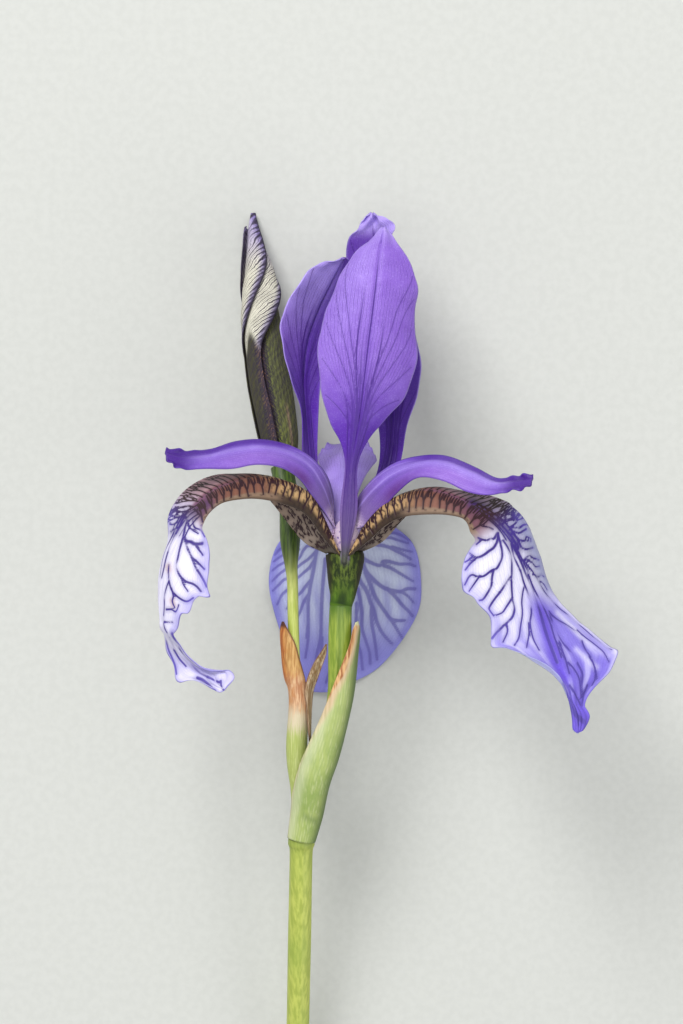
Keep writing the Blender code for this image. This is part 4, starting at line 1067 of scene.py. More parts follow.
def vein_field(points, veins):
    """For every point of a petal, the nearest vein: its sideways distance / half width, with
    a sign; (its distance - VEIN_CORE) / half width, without one; and its strength. A line shows
    where both are under 1, so it stays crisp between the points of the grid. A vein wider
    than the grid's cells needs only its plain distance."""
    samples = np.concatenate(veins)
    ways = np.concatenate([np.gradient(line[:, :3], axis=0) for line in veins])
    ways /= np.maximum(np.linalg.norm(ways, axis=1, keepdims=True), 1e-9)
    places = points.reshape(-1, 3)
    normals = facing(points).reshape(-1, 3)
    fields = []
    for part in np.array_split(np.arange(len(places)), 24):
        here = places[part]
        square = (here**2).sum(1)[:, None] + (samples[:, :3] ** 2).sum(1)
        apart = np.sqrt(np.maximum(square - 2 * here @ samples[:, :3].T, 0.0))
        nearest = (apart - samples[:, 3]).argmin(axis=1)
        chosen = samples[nearest]
        sideways = np.cross(normals[part], ways[nearest])
        signed = ((here - chosen[:, :3]) * sideways).sum(axis=1) / chosen[:, 3]
        wide = chosen[:, 3] > WIDE_VEIN
        signed = np.where(wide, 0.0, signed)
        nearer = np.where(wide, 0.0, VEIN_CORE)
        plain = (apart[np.arange(len(part)), nearest] - nearer) / chosen[:, 3]
        fields.append(np.stack([signed, plain, chosen[:, 4]], axis=-1))
    return np.concatenate(fields).reshape(points.shape)


def petal_pattern():
    """Node group: the colour and the relief of a petal, from what is stamped on its mesh.
    The ground is mottled, with light specks. Fine veins lie at the whole numbers of the fan's
    phase, finer ones half-way between them, and the single veins over both with a soft halo.
    The relief sinks at the veins and puckers between them."""
    group = bpy.data.node_groups.new("petal_pattern", "ShaderNodeTree")
    for name, way, kind in (
        ("Mottle", "INPUT", "Float"), ("Halo", "INPUT", "Float"),
        ("Colour", "OUTPUT", "Color"), ("Relief", "OUTPUT", "Float"),
    ):
        group.interface.new_socket(name, in_out=way, socket_type="NodeSocket" + kind)
    given = group.nodes.new("NodeGroupInput").outputs
    result = group.nodes.new("NodeGroupOutput").inputs
    ground, ink = (add(group, "Attribute", attribute_name=name)[0] for name in ("ground", "ink"))
    signed, plain, strength = read(group, "veins")
    phase, main, between = read(group, "fan")
    line = stretch(maths("MAXIMUM", abs(signed), plain), 0.5, 1.35, 1.0, 0.0) * strength
    halo = stretch(plain, 0.5, 4.0, 1.0, 0.0) * strength
    clouds = noise(group, 420.0, 4.0, 0.6)
    cells = noise(group, 5200.0)
    pits = noise(group, 1500.0, 3.0)
    wander = phase + scaled(clouds, 0.8, -0.4) + scaled(pits, 0.7, -0.35)
    broken = stretch(noise(group, 330.0), 0.32, 0.55, 0.35, 1.0)
    fine = ribs(wander, 1.0, 5.0) * (main * broken)
    fine = maths("MAXIMUM", fine, ribs(wander + 0.5, 1.0, 9.0) * (between * broken))
    mottle = stretch(clouds + cells * 0.6, 0.5, 1.1)
    darker = {"Color": ground, "Value": 0.8, "Saturation": 1.12}
    patchy = mottle * Value(given["Mottle"])
    colour = blend(patchy, ground, add(group, "HueSaturation", darker)[0])
    lighter = {"Color": colour, "Value": 1.3, "Saturation": 0.85}
    specks = stretch(cells, 0.52, 0.68) * Value(given["Mottle"])
    colour = layered(
        colour,
        (specks, add(group, "HueSaturation", lighter)[0]),
        (fine, ink),
        (halo * Value(given["Halo"]), ink),
        (line, ink),
    )
    pucker = scaled(pits, 0.5, scaled(clouds, 0.8, cells * 0.12))
    relief = pucker - maths("MAXIMUM", line, fine) * 0.5
    group.links.new(colour.socket, result["Colour"])
    group.links.new(relief.socket, result["Relief"])
    return group


def petal_material(name, pattern, roughness, mottle, halo, glow):
    """Petal tissue: the pattern's colour on a soft shader, part of which lets light through."""
    material, tree = matt(name, roughness)
    drawn = tree.nodes.new("ShaderNodeGroup")
    drawn.node_tree = pattern
    drawn.inputs["Mottle"].default_value = mottle
    drawn.inputs["Halo"].default_value = halo
    colour = Value(drawn.outputs["Colour"])
    finished(material, colour, Value(drawn.outputs["Relief"]), strength=0.6, depth=0.16)
    lit = Value(tree.nodes["Principled BSDF"].outputs[0])
    through = add(tree, "BsdfTranslucent", {"Color": colour})[0]
    mixed = add(tree, "MixShader", {0: glow, 1: lit, 2: through})[0]
    tree.links.new(mixed.socket, tree.nodes["Material Output"].inputs["Surface"])
    return material


def haft_colours(points, s, v, ochre, plum, end):
    """Ground of a haft by station s and v: ochre at its foot with a cream ridge and dark
    zigzags, tan-brown, then plum towards the blade, a mauve ridge, a grey-brown strip down the
    near margin, and on the far half pinkish cells that turn lilac-white at the bend."""
    foot = 1 - steps(s, ochre + 0.3, ochre + 1.3)
    zigzags = np.sin(30 * s + 2.2 * np.sin(12 * v) + 3 * v) + 0.5 * np.sin(7 * s + 9 * v)
    beyond = steps(v, 0.05, 0.25)
    return washed(
        flat(points, OCHRE),
        (steps(s, ochre, ochre + 1.2), TAN),
        (steps(s, plum - 1.0, plum + 1.0), PLUM),
        (foot * bump_at(v, 0.05, 0.1) * 0.8, CREAM),
        (foot * steps(zigzags, 0.45, 0.8) * 0.85, BARK),
        (foot * steps(-v, 0.68, 0.85) * 0.95, BARK),
        (steps(s, plum - 2.0, plum - 0.6) * bump_at(v, -0.02, 0.13) * 0.75, RIDGE),
        (beyond * steps(s, ochre + 1.0, plum), PINK_CELLS),
        (beyond * steps(s, plum, end + 0.3), LILAC_CELLS),
        (steps(-v, 0.74, 0.84) * steps(s, ochre, ochre + 0.8), KEEL),
        (0.6 * steps(-v, 0.9, 0.98) * (1 - steps(s, end - 1, end)), BARK),
    )


def trimmed(points, first_row, near, far):
    """The rows of a blade stretched until they reach an outline on both sides, seen from the
    front. The ends of the rows take the outline's place at the same share of its length, and
    a point at share t from the near end to the far one moves by (1 - t)^2 and t^2 of that."""
    rows = points[first_row:, :, :2]
    way = rows[:, -1] - rows[:, 0]
    if np.linalg.norm(rows[0, 0] - near[0]) > np.linalg.norm(rows[0, -1] - near[0]):
        way = -way
    t = (rows * way[:, None]).sum(axis=-1)
    low = t.min(axis=1, keepdims=True)
    t = (t - low) / np.maximum(np.ptp(t, axis=1)[:, None], 1e-6)
    count = np.arange(len(rows))
    moved = points.copy()
    sides = ((t.argmin(axis=1), (1 - t) ** 2, near), (t.argmax(axis=1), t**2, far))
    for column, weight, outline in sides:
        ends = rows[count, column]
        corners = np.array(outline)
        reached, lengths = length_along(ends), length_along(corners)
        share = reached / reached[-1] * lengths[-1]
        goal = np.stack([np.interp(share, lengths, corners[:, axis]) for axis in (0, 1)], axis=-1)
        away = softened(goal - ends, 0.02) * steps(count / len(rows), 0.0, 0.08)[:, None]
        moved[first_row:, :, :2] += weight[..., None] * away[:, None]
    return moved


def fall(name, lines, veins, colours, turn, haft, seed, outline=None, bundle=None,
         wider=1.3, under_veins=0.45):
    """A fall's mesh: its surface with rippled margins and a groove along the midrib, its two
    grounds, inks and vein fields. haft holds the stations where the ochre ends, the plum
    starts and the haft ends; colours gives the blade's ground and that of its underside, and
    bundle the dark stripe (its line and strength) where the veins gather at the bend. wider
    multiplies the veins' widths, and under_veins is their strength on the underside."""
    rows = 240
    points, up, v = petal_grid(lines, rows, columns=80, turn=turn)
    stations = len(lines["near"]) - 1
    s = up * stations
    blade = steps(s, haft[2] - 0.3, haft[2] + 0.7)
    ripple = np.abs(v) ** 4 * (0.22 * np.sin(31 * up + 2 * v + seed) + 0.13 * np.sin(67 * up - 3 * v))
    groove = 0.18 * bump_at(v, 0.0, 0.09) * (0.3 + 0.7 * blade)
    pucker = 0.1 * np.sin(9 * v + 14 * up) * np.sin(23 * up - 5 * v)
    points = points + facing(points) * (blade * (ripple + pucker) - groove)[..., None]
    if outline:
        margin_line = points[:, 0 if turn > 0 else -1, :2]
        first_row = int(np.linalg.norm(margin_line - outline[0][0], axis=1).argmin())
        points = trimmed(points, first_row, *outline)
    points[..., 2] = np.maximum(points[..., 2], LEAST_HEIGHT - HEART[2] / MM)
    share = blade[..., None]
    edge = spans(HEART + MM * points)[..., :2].min(axis=-1)
    rim = (0.6 + 0.3 * np.sin(80 * up)) * blade * (1 - steps(edge, 0.05, 0.22))
    top, under = colours(points, s, v)
    top = haft_colours(points, s, v, *haft) * (1 - share) + top * share
    top = washed(top, (rim, SOFT_INK))
    if bundle:
        top = washed(top, (bundle[1] * near_line(points, bundle[0], 0.95), BUNDLE))
    foot = 0.75 * (1 - steps(s, 0.2, 1.0))
    below = washed(flat(points, FLANGE), (steps(s, 0.5, 4.0), KEEL), (foot, DARK_FOOT))
    under = below * (1 - share) + under * share
    ends = np.maximum(1 - steps(edge, 0.2, 2.2), 0.5 * steps(-points[..., 1], 4.0, 11.0))
    ink = washed(flat(points, MAROON_INK), (blade, VIOLET_INK), (blade * ends * 0.7, FAINT_INK))
    softer = washed(ink, (blade, SOFT_INK))
    drawn = traced(points, veins, int(rows * (haft[2] - 1.0) / stations), wider)
    across = haft_veins(points, turn, 0.7 / stations, (haft[2] + 0.1) / stations, seed)
    spots = dots(points, turn, 0.25 / stations, 5.4 / stations, count=420, seed=seed)
    front = vein_field(points, drawn + across)
    back = vein_field(points, drawn + spots)
    back[..., 2] *= 1 - (1 - under_veins) * blade
    fan = np.stack(np.broadcast_arrays(11 * v, 0.16 * blade, 0.1 * blade), axis=-1)
    thickness = 0.13 + 0.35 * (1 - v**2) ** 2 * (1 - 0.5 * up)
    return leaf(
        name, HEART + MM * points, thickness, (up, v), ground=np.stack([top, under]),
        ink=np.stack([ink, softer]), veins=np.stack([front, back]), fan=fan,
    )


def right_colours(points, s, v):
    """White blade, with painted shade in grey-white where it turns away behind, a deep violet
    band down its midrib, and violet-blue with white streaks on its lower right and in its tail."""
    y = points[..., 1]
    # Painted shade: grey-white over the part of the blade that turns away behind.
    behind = near_line(points, [(22.5, 7.0), (25.2, 4.6), (27.0, 1.6), (28.2, -1.6), (29.3, -4.2)], 1.5)
    right = near_line(points, [(30.0, -8.5), (32.5, -11.5), (35.0, -14.0), (35.5, -17.0)], 2.6)
    band = near_line(points, [(26.6, -4.0), (28.4, -9.0), (29.8, -13.5), (31.2, -17.0)], 1.5)
    streaks = np.sin(15 * v + 2.2 * np.sin(1.1 * s)) + 0.6 * np.sin(27 * v - 2.3 * s)
    low = steps(-y, 6.0, 12.0) * (1 - steps(-y, 18.0, 21.0))
    top = washed(
        flat(points, WHITE),
        (behind, PAINTED_SHADE_WHITE),
        (0.4 * steps(-v, 0.62, 1.0), WASH),
        (0.9 * steps(-y, 7.0, 17.0), WASH),
        (0.85 * right, WASH),
        (0.55 * near_line(points, [(30.4, -8.2), (33.4, -11.0), (37.6, -14.2)], 0.45), WHITE),
        (0.55 * near_line(points, [(33.0, -13.4), (35.8, -15.8)], 0.45), WHITE),
        (0.4 * steps(streaks, 0.1, 1.3) * low, WHITE),
        (0.3 * steps(-streaks, 0.1, 1.3) * low, BAND),
        (0.95 * band * steps(-y, 3.5, 8.0), BAND),
        (0.8 * steps(-y, 17.0, 22.0), BAND),
        (0.8 * near_line(points, [(31.2, -6.8), (34.6, -10.0), (38.8, -13.4)], 0.6), WHITE),
    )
    return top, washed(top, (0.6, UNDERSIDE))


def left_colours(points, s, v):
    """White blade with violet-washed margins, two rusty spots and a lilac tail."""
    rust = near_line(points, [(-24.4, -1.6), (-24.3, -2.0)], 0.5)
    rust = rust + near_line(points, [(-23.9, -6.3), (-23.7, -7.0)], 0.45)
    top = washed(
        flat(points, WHITE),
        (0.5 * steps(np.abs(v), 0.6, 1.0), WASH),
        (0.6 * steps(s, 12.0, 13.5) * (1 - steps(s, 14.0, 15.0)), WASH),
        (0.5 * rust, RUST),
        (0.55 * steps(s, 12.8, 13.8), WHITE),
        (0.8 * near_line(points, [(-22.6, -16.9), (-21.6, -17.2)], 1.0), WHITE),
    )
    return top, washed(top, (0.15, WASH))


def back_colours(points, s, v):
    """White inside, pale blue-grey underside, with a violet-blue margin on both."""
    x, y = points[..., 0], points[..., 1]
    streaks = 0.5 + 0.5 * np.sin(3.1 * x + 0.6 * np.sin(0.9 * y))
    edge = np.maximum(steps(np.abs(v), 0.7, 0.97), 0.6 * streaks * steps(-y, 2.0, 7.0))
    edge = np.maximum(edge, steps(-y, 6.0, 15.0))
    top = washed(flat(points, WHITE), (0.6 * edge, WASH))
    return top, washed(flat(points, UNDERSIDE), (0.85 * edge, BLUE_EDGE))


pattern = petal_pattern()
white_petal = petal_material(
    "fall_violet_white", pattern, roughness=0.5, mottle=0.25, halo=0.3, glow=0.22
)
outline = (RIGHT_BLADE_LEFT, RIGHT_BLADE_RIGHT)
bundle = ([(18.6, 7.3), (20.2, 6.3), (21.8, 5.0), (23.4, 3.2), (24.6, 1.2)], 0.9)
mesh = fall(
    "right_fall", FALL_RIGHT, RIGHT_VEINS, right_colours, turn=-1, haft=(2.6, 5.0, 6.7), seed=3,
    outline=outline, bundle=bundle,
)
seat(mesh, white_petal, "fall_right")
outline = (LEFT_BLADE_RIGHT, LEFT_BLADE_LEFT)
bundle = ([(-19.0, 7.2), (-20.4, 6.3), (-22.0, 5.2), (-23.4, 3.4)], 0.55)
mesh = fall(
    "left_fall", FALL_LEFT, LEFT_VEINS, left_colours, turn=1, haft=(2.8, 6.2, 7.3), seed=5,
    outline=outline, bundle=bundle,
)
seat(mesh, white_petal, "fall_left")
mesh = fall(
    "back_fall", FALL_BACK, BACK_VEINS, back_colours, turn=1, haft=(1.6, 3.4, 4.5), seed=8,
    wider=1.9, under_veins=0.75,
)
seat(mesh, white_petal, "fall_back")

# ---------------------------------------------------------------------------------------
# Standards: three upright violet petals, finely veined lengthwise, whose narrow dark claws
# stand in the tube's rim. The front one hides parts of the other two; the right one's
# crumpled tip stands above it.
STANDARD_FRONT = {
    "near": [(0.02, -1.1, 2.86), (-0.3, 6, 2.7), (0.45, 12.4, 3.2), (-0.1, 15.8, 3.4), (-1.7, 19, 3.4),
        (-3.1, 24, 2.6), (-3.4, 29.4, 2), (-2.4, 34.4, 1.8), (-0.8, 38.8, 2), (1.4, 42.4, 2.4),
        (4.4, 45.4, 2.8), (5.6, 46.6, 3)],
    "midrib": [(0.3, -1.2, 2.98), (0.9, 6, 2.9), (1.3, 12.4, 3.7), (1.9, 16.2, 4.2), (2.6, 20.4, 4.8),
        (3.2, 25.4, 5.2), (3.8, 30.4, 5.4), (4.4, 35, 5.3), (4.9, 39.2, 4.9), (5.3, 42.8, 4.3),
        (5.8, 45.7, 3.5), (5.95, 46.7, 3.1)],
    "far": [(0.6, -1.1, 2.88), (2.15, 6, 2.7), (2.15, 12.4, 3.2), (3.6, 16.2, 3.3), (6.2, 19.4, 3.2),
        (9.2, 22.8, 2.6), (10.6, 28, 2), (10.2, 33.4, 2), (10.9, 37.2, 2.4), (10, 40.4, 2.6),
        (7.8, 44.7, 2.9), (6.3, 46.7, 3)],
}
STANDARD_LEFT = {
    "near": [(-2.43, 0.3, -0.41), (-4.5, 7, -1.2), (-5.6, 13.4, -1.8), (-5.8, 20.6, -1.8), (-7.6, 26, -0.8),
        (-8.8, 31.2, -0.2), (-8.1, 35.4, -0.4), (-5.4, 40, -1.4), (-2.9, 41.8, -2.2), (-0.2, 42.4, -2.8)],
    "midrib": [(-2, 0.3, -1.15), (-3.8, 7, -2.1), (-4.6, 13.4, -3), (-5.2, 20, -3.8), (-5.5, 25.6, -4.4),
        (-4.9, 30.8, -5), (-3.2, 35.4, -5.2), (-1.3, 39.4, -4.6), (-0.2, 41.6, -3.8), (0.3, 42.5, -3.2)],
    "far": [(-1.57, 0.3, -1.89), (-2.9, 7, -2.9), (-3.5, 13.4, -3.6), (-3.4, 19.2, -4.4), (-3, 24.6, -5.8),
        (-1.6, 30, -7), (0, 35, -7.2), (1.2, 39, -6.4), (1, 41.6, -4.8), (0.8, 42.6, -3.6)],
}
STANDARD_RIGHT = {
    "near": [(2.43, 0.3, -0.41), (4.8, 7, -1.2), (8.1, 12.6, -2.2), (9.2, 18, -2.6), (11, 23.4, -2.4),
        (11.1, 28.4, -2.4), (9.8, 35, -3), (8.2, 41, -3.4), (6.9, 44.8, -3.5), (7.6, 46.6, -3.3),
        (6.6, 47.9, -3.5), (4.7, 48.9, -4.1)],
    "midrib": [(2, 0.3, -1.15), (3.9, 7, -2.2), (6.6, 12.4, -3.3), (7.4, 18, -4.4), (7.4, 24, -5.6),
        (7, 30, -6.4), (6.2, 37, -6.6), (5.4, 42, -6), (4.8, 45.2, -5.4), (4.6, 47, -5), (4.4, 48.2, -4.7),
        (4.3, 49, -4.3)],
    "far": [(1.57, 0.3, -1.89), (3, 7, -2.9), (5.2, 12.4, -3.8), (5.3, 18, -5.4), (3.8, 24, -7.6),
        (2.6, 30, -8.8), (1.4, 37, -8.8), (0.6, 42.2, -7.4), (0.9, 45.3, -6), (2.3, 46.9, -5.3),
        (3.1, 48.1, -4.9), (3.9, 48.9, -4.4)],
}
# Each bold vein: its place v across, where it ends as a share of the length, its strength.
BOLD_VEINS = [
    (0, 0.9, 1), (-0.2, 0.75, 0.9), (0.22, 0.65, 0.9), (-0.11, 0.6, 0.6), (0.12, 0.55, 0.6),
    (-0.4, 0.5, 0.7), (0.4, 0.5, 0.7), (-0.65, 0.45, 0.8), (0.65, 0.42, 0.8),
]
STANDARD = paint(154, 114, 218)
# A light violet painted as light, and a deep violet that is both the claw's own colour and painted shade.
STANDARD_PAINTED_LIGHT = paint(196, 172, 250)
STANDARD_DEEP_AND_SHADE = paint(98, 50, 178)
STANDARD_CLAW = paint(140, 112, 176)
STANDARD_FOOT = paint(116, 100, 126)
CLAW_INK = paint(84, 60, 124)
TUBE_GREY = paint(76, 78, 66)
STANDARD_INK = paint(70, 24, 138)
STANDARD_PAINTED_RIM_LIGHT = paint(206, 194, 250)


def fan_of(up, v, claw, count):
    """Fine veins that run together up the claw and fan out over the blade. The k-th lies at
    v = k (0.16 + 0.95 rise) / count, where rise goes from 0 low on the claw to 1 at the tip."""
    rise = steps(up, claw * 0.6, 1.0) ** 0.8
    phase = count * v / (0.16 + 0.95 * rise) + 0.3 * np.sin(7 * up + 2 * v)
    fade = 1 - steps(np.abs(phase), 1.3 * count, 1.5 * count)
    main = 0.42 * steps(up, 0.5 * claw, claw + 0.1)
    between = 0.3 * steps(up, claw + 0.1, 0.8)
    return np.stack([phase, main * fade, between * fade], axis=-1)


def bold_veins(points, claw):
    """Darker veins on both sides of the midrib, fading out at a share of the length, and five
    thin ones on each side that leave the claw for the margin."""
    laid = []
    for c, last, strength in BOLD_VEINS:
        share = np.linspace(0.0, last, 300)
        rise = steps(share, claw * 0.6, 1.0) ** 0.8
        apart = 1.0 - 0.4 * bump_at(share, claw + 0.1, 0.1) + 0.3 * rise
        samples = vein(on_grid(points, share, (c * apart + 1) / 2), 0.13, 0.1, strength)
        samples[:, 4] *= 1 - steps(share, 0.75 * last, last)
        laid.append(samples)
    along = np.linspace(0, 1, 120)
    for side in (-1, 1):
        for order in range(5):
            share = claw + 0.04 * order + (0.16 + 0.05 * order) * along
            line = on_grid(points, share, (side * (0.18 + 0.74 * along**1.3) + 1) / 2)
            laid.append(vein(line, 0.1, 0.06, 0.55))
    return laid


def standard(name, lines, shade, claw, seed, crumple=0.0):
    """A standard's mesh: claw is the share of its length that is narrow, and shade gives more
    layers of its ground from (up, v): painted light and painted shade. crumple is the depth of
    the folds in its tip."""
    points, up, v = petal_grid(lines, rows=220, columns=64)
    blade = steps(up, claw, claw + 0.2)
    ripple = np.abs(v) ** 5 * (0.18 * np.sin(26 * up + 3 * v + seed) + 0.1 * np.sin(61 * up))
    waves = 0.12 * np.sin(5 * v + 9 * up + seed) * np.sin(13 * up - 3 * v)
    groove = -0.22 * bump_at(v, 0.0, 0.07)
    crumpled = crumple * bump_at(up, 0.89, 0.08) * np.sin(7 * v + 24 * up) * (1 - 0.6 * v**2)
    points = points + facing(points) * (blade * (ripple + waves) + groove + crumpled)[..., None]
    edge = spans(HEART + MM * points)[..., :2].min(axis=-1)
    ground = washed(
        flat(points, STANDARD),
        (1 - steps(up, claw, 2.0 * claw), STANDARD_DEEP_AND_SHADE),
        (0.8 * (1 - steps(up, 0.5 * claw, claw)), STANDARD_CLAW),
        (0.6 * bump_at(v, 0.0, 0.1) * (1 - steps(up, claw, 0.8)), STANDARD_DEEP_AND_SHADE),
        # Painted light and painted shade from the shade function.
        *shade(up, v),
        (0.9 * (1 - steps(up, 0.03, 0.12)), STANDARD_FOOT),
        (1 - steps(up, 0.005, 0.04), TUBE_GREY),
        # Painted light along the thin margins of the blade, where light shows through them.
        (0.4 * blade * (1 - steps(edge, 0.05, 0.25)), STANDARD_PAINTED_RIM_LIGHT),
    )
    ink = washed(
        flat(points, STANDARD_INK),
        (0.85 * (1 - steps(up, 0.05, 0.2)), CLAW_INK),
        (1 - steps(up, 0.005, 0.05), TUBE_GREY),
    )
    field = vein_field(points, bold_veins(points, claw))
    thickness = 0.13 + 0.35 * (1 - v**2) ** 2 * (1 - 0.6 * up)
    return leaf(
        name, HEART + MM * points, thickness, (up, v),
        ground=ground, ink=ink, veins=field, fan=fan_of(up, v, claw, 11),
    )


def front_painted_light_and_shade(up, v):
    """Painted light at the top and towards the upper left margin, and painted shade over the
    far half low down.
    """
    return (
        (0.3 * (bump_at(v, -0.7, 0.5) * steps(up, 0.4, 0.7)), STANDARD_PAINTED_LIGHT),
        (0.8 * steps(up, 0.84, 0.97), STANDARD_PAINTED_LIGHT),
        (0.2 * steps(v, 0.2, 0.9) * (1 - steps(up, 0.5, 0.8)), STANDARD_DEEP_AND_SHADE),
    )


def left_painted_light_and_shade(up, v):
    """Painted shade in deep violet low down and in the channel of its midrib, and painted light
    towards its tip.
    """
    return (
        (0.5 * (1 - steps(up, 0.5, 0.85)) * steps(v, -0.9, 0.2), STANDARD_DEEP_AND_SHADE),
        (0.6 * bump_at(v, 0.1, 0.25) * steps(up, 0.25, 0.45), STANDARD_DEEP_AND_SHADE),
        (steps(up, 0.5, 0.8) * steps(-v, -0.4, 0.4), STANDARD_PAINTED_LIGHT),
    )


def right_painted_light_and_shade(up, v):
    """Painted shade in deep violet throughout, with painted light on its tip."""
    return (
        (0.6 * (1 - steps(up, 0.7, 0.85)), STANDARD_DEEP_AND_SHADE),
        (steps(up, 0.72, 0.82), STANDARD_PAINTED_LIGHT),
    )


violet_petal = petal_material(
    "standard_violet", pattern, roughness=0.45, mottle=0.55, halo=0.2, glow=0.25
)
mesh = standard("front_standard", STANDARD_FRONT, front_painted_light_and_shade, claw=0.27, seed=2)
seat(mesh, violet_petal, "standard_front")
mesh = standard("left_standard", STANDARD_LEFT, left_painted_light_and_shade, claw=0.3, seed=4)
seat(mesh, violet_petal, "standard_left")
mesh = standard("right_standard", STANDARD_RIGHT, right_painted_light_and_shade, claw=0.2, seed=6, crumple=0.5)
seat(mesh, violet_petal, "standard_right")

# ---------------------------------------------------------------------------------------
# Style: a short column in the middle of the tube that divides into three arms. Each arm is a
# satin, petal-like roof over a stamen and a fall's haft, with painted highlights along its
# ridge and a dark, toothed crest at its tip.
STYLE_LEFT = {
    "near": [(-0.64, 3.4, 1.29), (-2.6, 6.2, 2.6), (-4.4, 8.6, 3.9), (-6.2, 10.9, 5.2), (-8.8, 12.4, 6.8),
        (-12.2, 12.8, 8.6), (-15.6, 12.2, 10.4), (-19.2, 12.2, 12.4), (-22.6, 12.1, 14.2), (-24.4, 13, 15)],
    "midrib": [(-1.04, 3.4, 0.6), (-1.9, 7.2, 1.3), (-3, 10.2, 2.2), (-4.8, 12.8, 3.2), (-7.8, 14.4, 5),
        (-11.6, 15, 7), (-15.4, 14.6, 9), (-19, 13.8, 11.2), (-22.4, 13.6, 13), (-24.9, 14.2, 14.2)],
    "far": [(-1.44, 3.4, -0.09), (-1.2, 7.8, -0.3), (-2.2, 11.4, 0.6), (-4.6, 14, 1.6), (-7.6, 15.6, 3.2),
        (-11.4, 16.4, 5.2), (-15.2, 16.1, 7.4), (-18.6, 15, 9.6), (-21.8, 14.8, 11.6), (-24.8, 15.2, 13.2)],
}
STYLE_RIGHT = {
    "near": [(0.64, 3.4, 1.29), (3.6, 4.3, 2.8), (5.8, 6.5, 4.3), (8, 9, 5.8), (10.8, 11, 7.8),
        (14.4, 10.5, 10), (17.6, 9, 12), (20.6, 8.5, 13.6), (23.6, 9, 15), (26.2, 9.5, 16.2)],
    "midrib": [(1.04, 3.4, 0.6), (2.4, 6.6, 1.4), (4.4, 9.2, 2.6), (7.2, 11.5, 4.2), (10.8, 12.7, 6.2),
        (14.6, 12.7, 8.4), (18.4, 11.2, 10.6), (21.6, 9.9, 12.4), (24.2, 10.1, 13.8), (26.8, 10.4, 15.2)],
    "far": [(1.44, 3.4, -0.09), (2.1, 7.6, -0.2), (4.2, 10.6, 0.9), (7.4, 13, 2.4), (11, 14, 4.4),
        (14.8, 14, 6.6), (18.8, 12.4, 8.8), (22, 10.8, 11), (24.6, 11.2, 12.6), (26.9, 11.5, 14.2)],
}
STYLE_BACK = {
    "near": [(-0.8, 3.4, -1.2), (-1.6, 8, -2.8), (-2.4, 11, -5.2), (-3.2, 13, -8.5), (-3.4, 14.2, -12),
        (-2, 16.2, -15.2)],
    "midrib": [(0, 3.4, -1.2), (0.2, 8.2, -2.6), (0.4, 11.6, -5), (0.6, 13.9, -8.5), (0.8, 14.9, -12),
        (0.8, 15.8, -15.5)],
    "far": [(0.8, 3.4, -1.2), (2, 8, -2.8), (3.2, 11, -5.2), (4.4, 12.8, -8.5), (5, 13.8, -12),
        (3.8, 16.2, -15.2)],
}
# Stations up the column (x, y, z, radius): a fleshy foot that narrows where the arms part.
COLUMN_PATH = [
    (0.2, 0.2, 0.2, 1.5), (0.5, 1.6, 0.5, 1.9), (0.8, 3, 0.7, 2), (0.8, 4.4, 0.6, 1.6),
    (0.7, 5.6, 0.2, 0.5),
]
STYLE = paint(134, 98, 206)
STYLE_PINK = paint(96, 44, 124)
# The light violet is both the back arm's paler colour and painted highlight; the bluish violet further down
# is painted shade.
STYLE_PALE_AND_PAINTED_HIGHLIGHT = paint(180, 156, 236)
CREST = paint(70, 26, 136)
STYLE_FOOT = paint(130, 106, 156)
STYLE_PAINTED_SHADE_BLUE = paint(98, 78, 160)
STYLE_INK = paint(84, 46, 160)
STYLE_TISSUE = paint(226, 204, 226)
STYLE_BLUSH = paint(160, 120, 214)


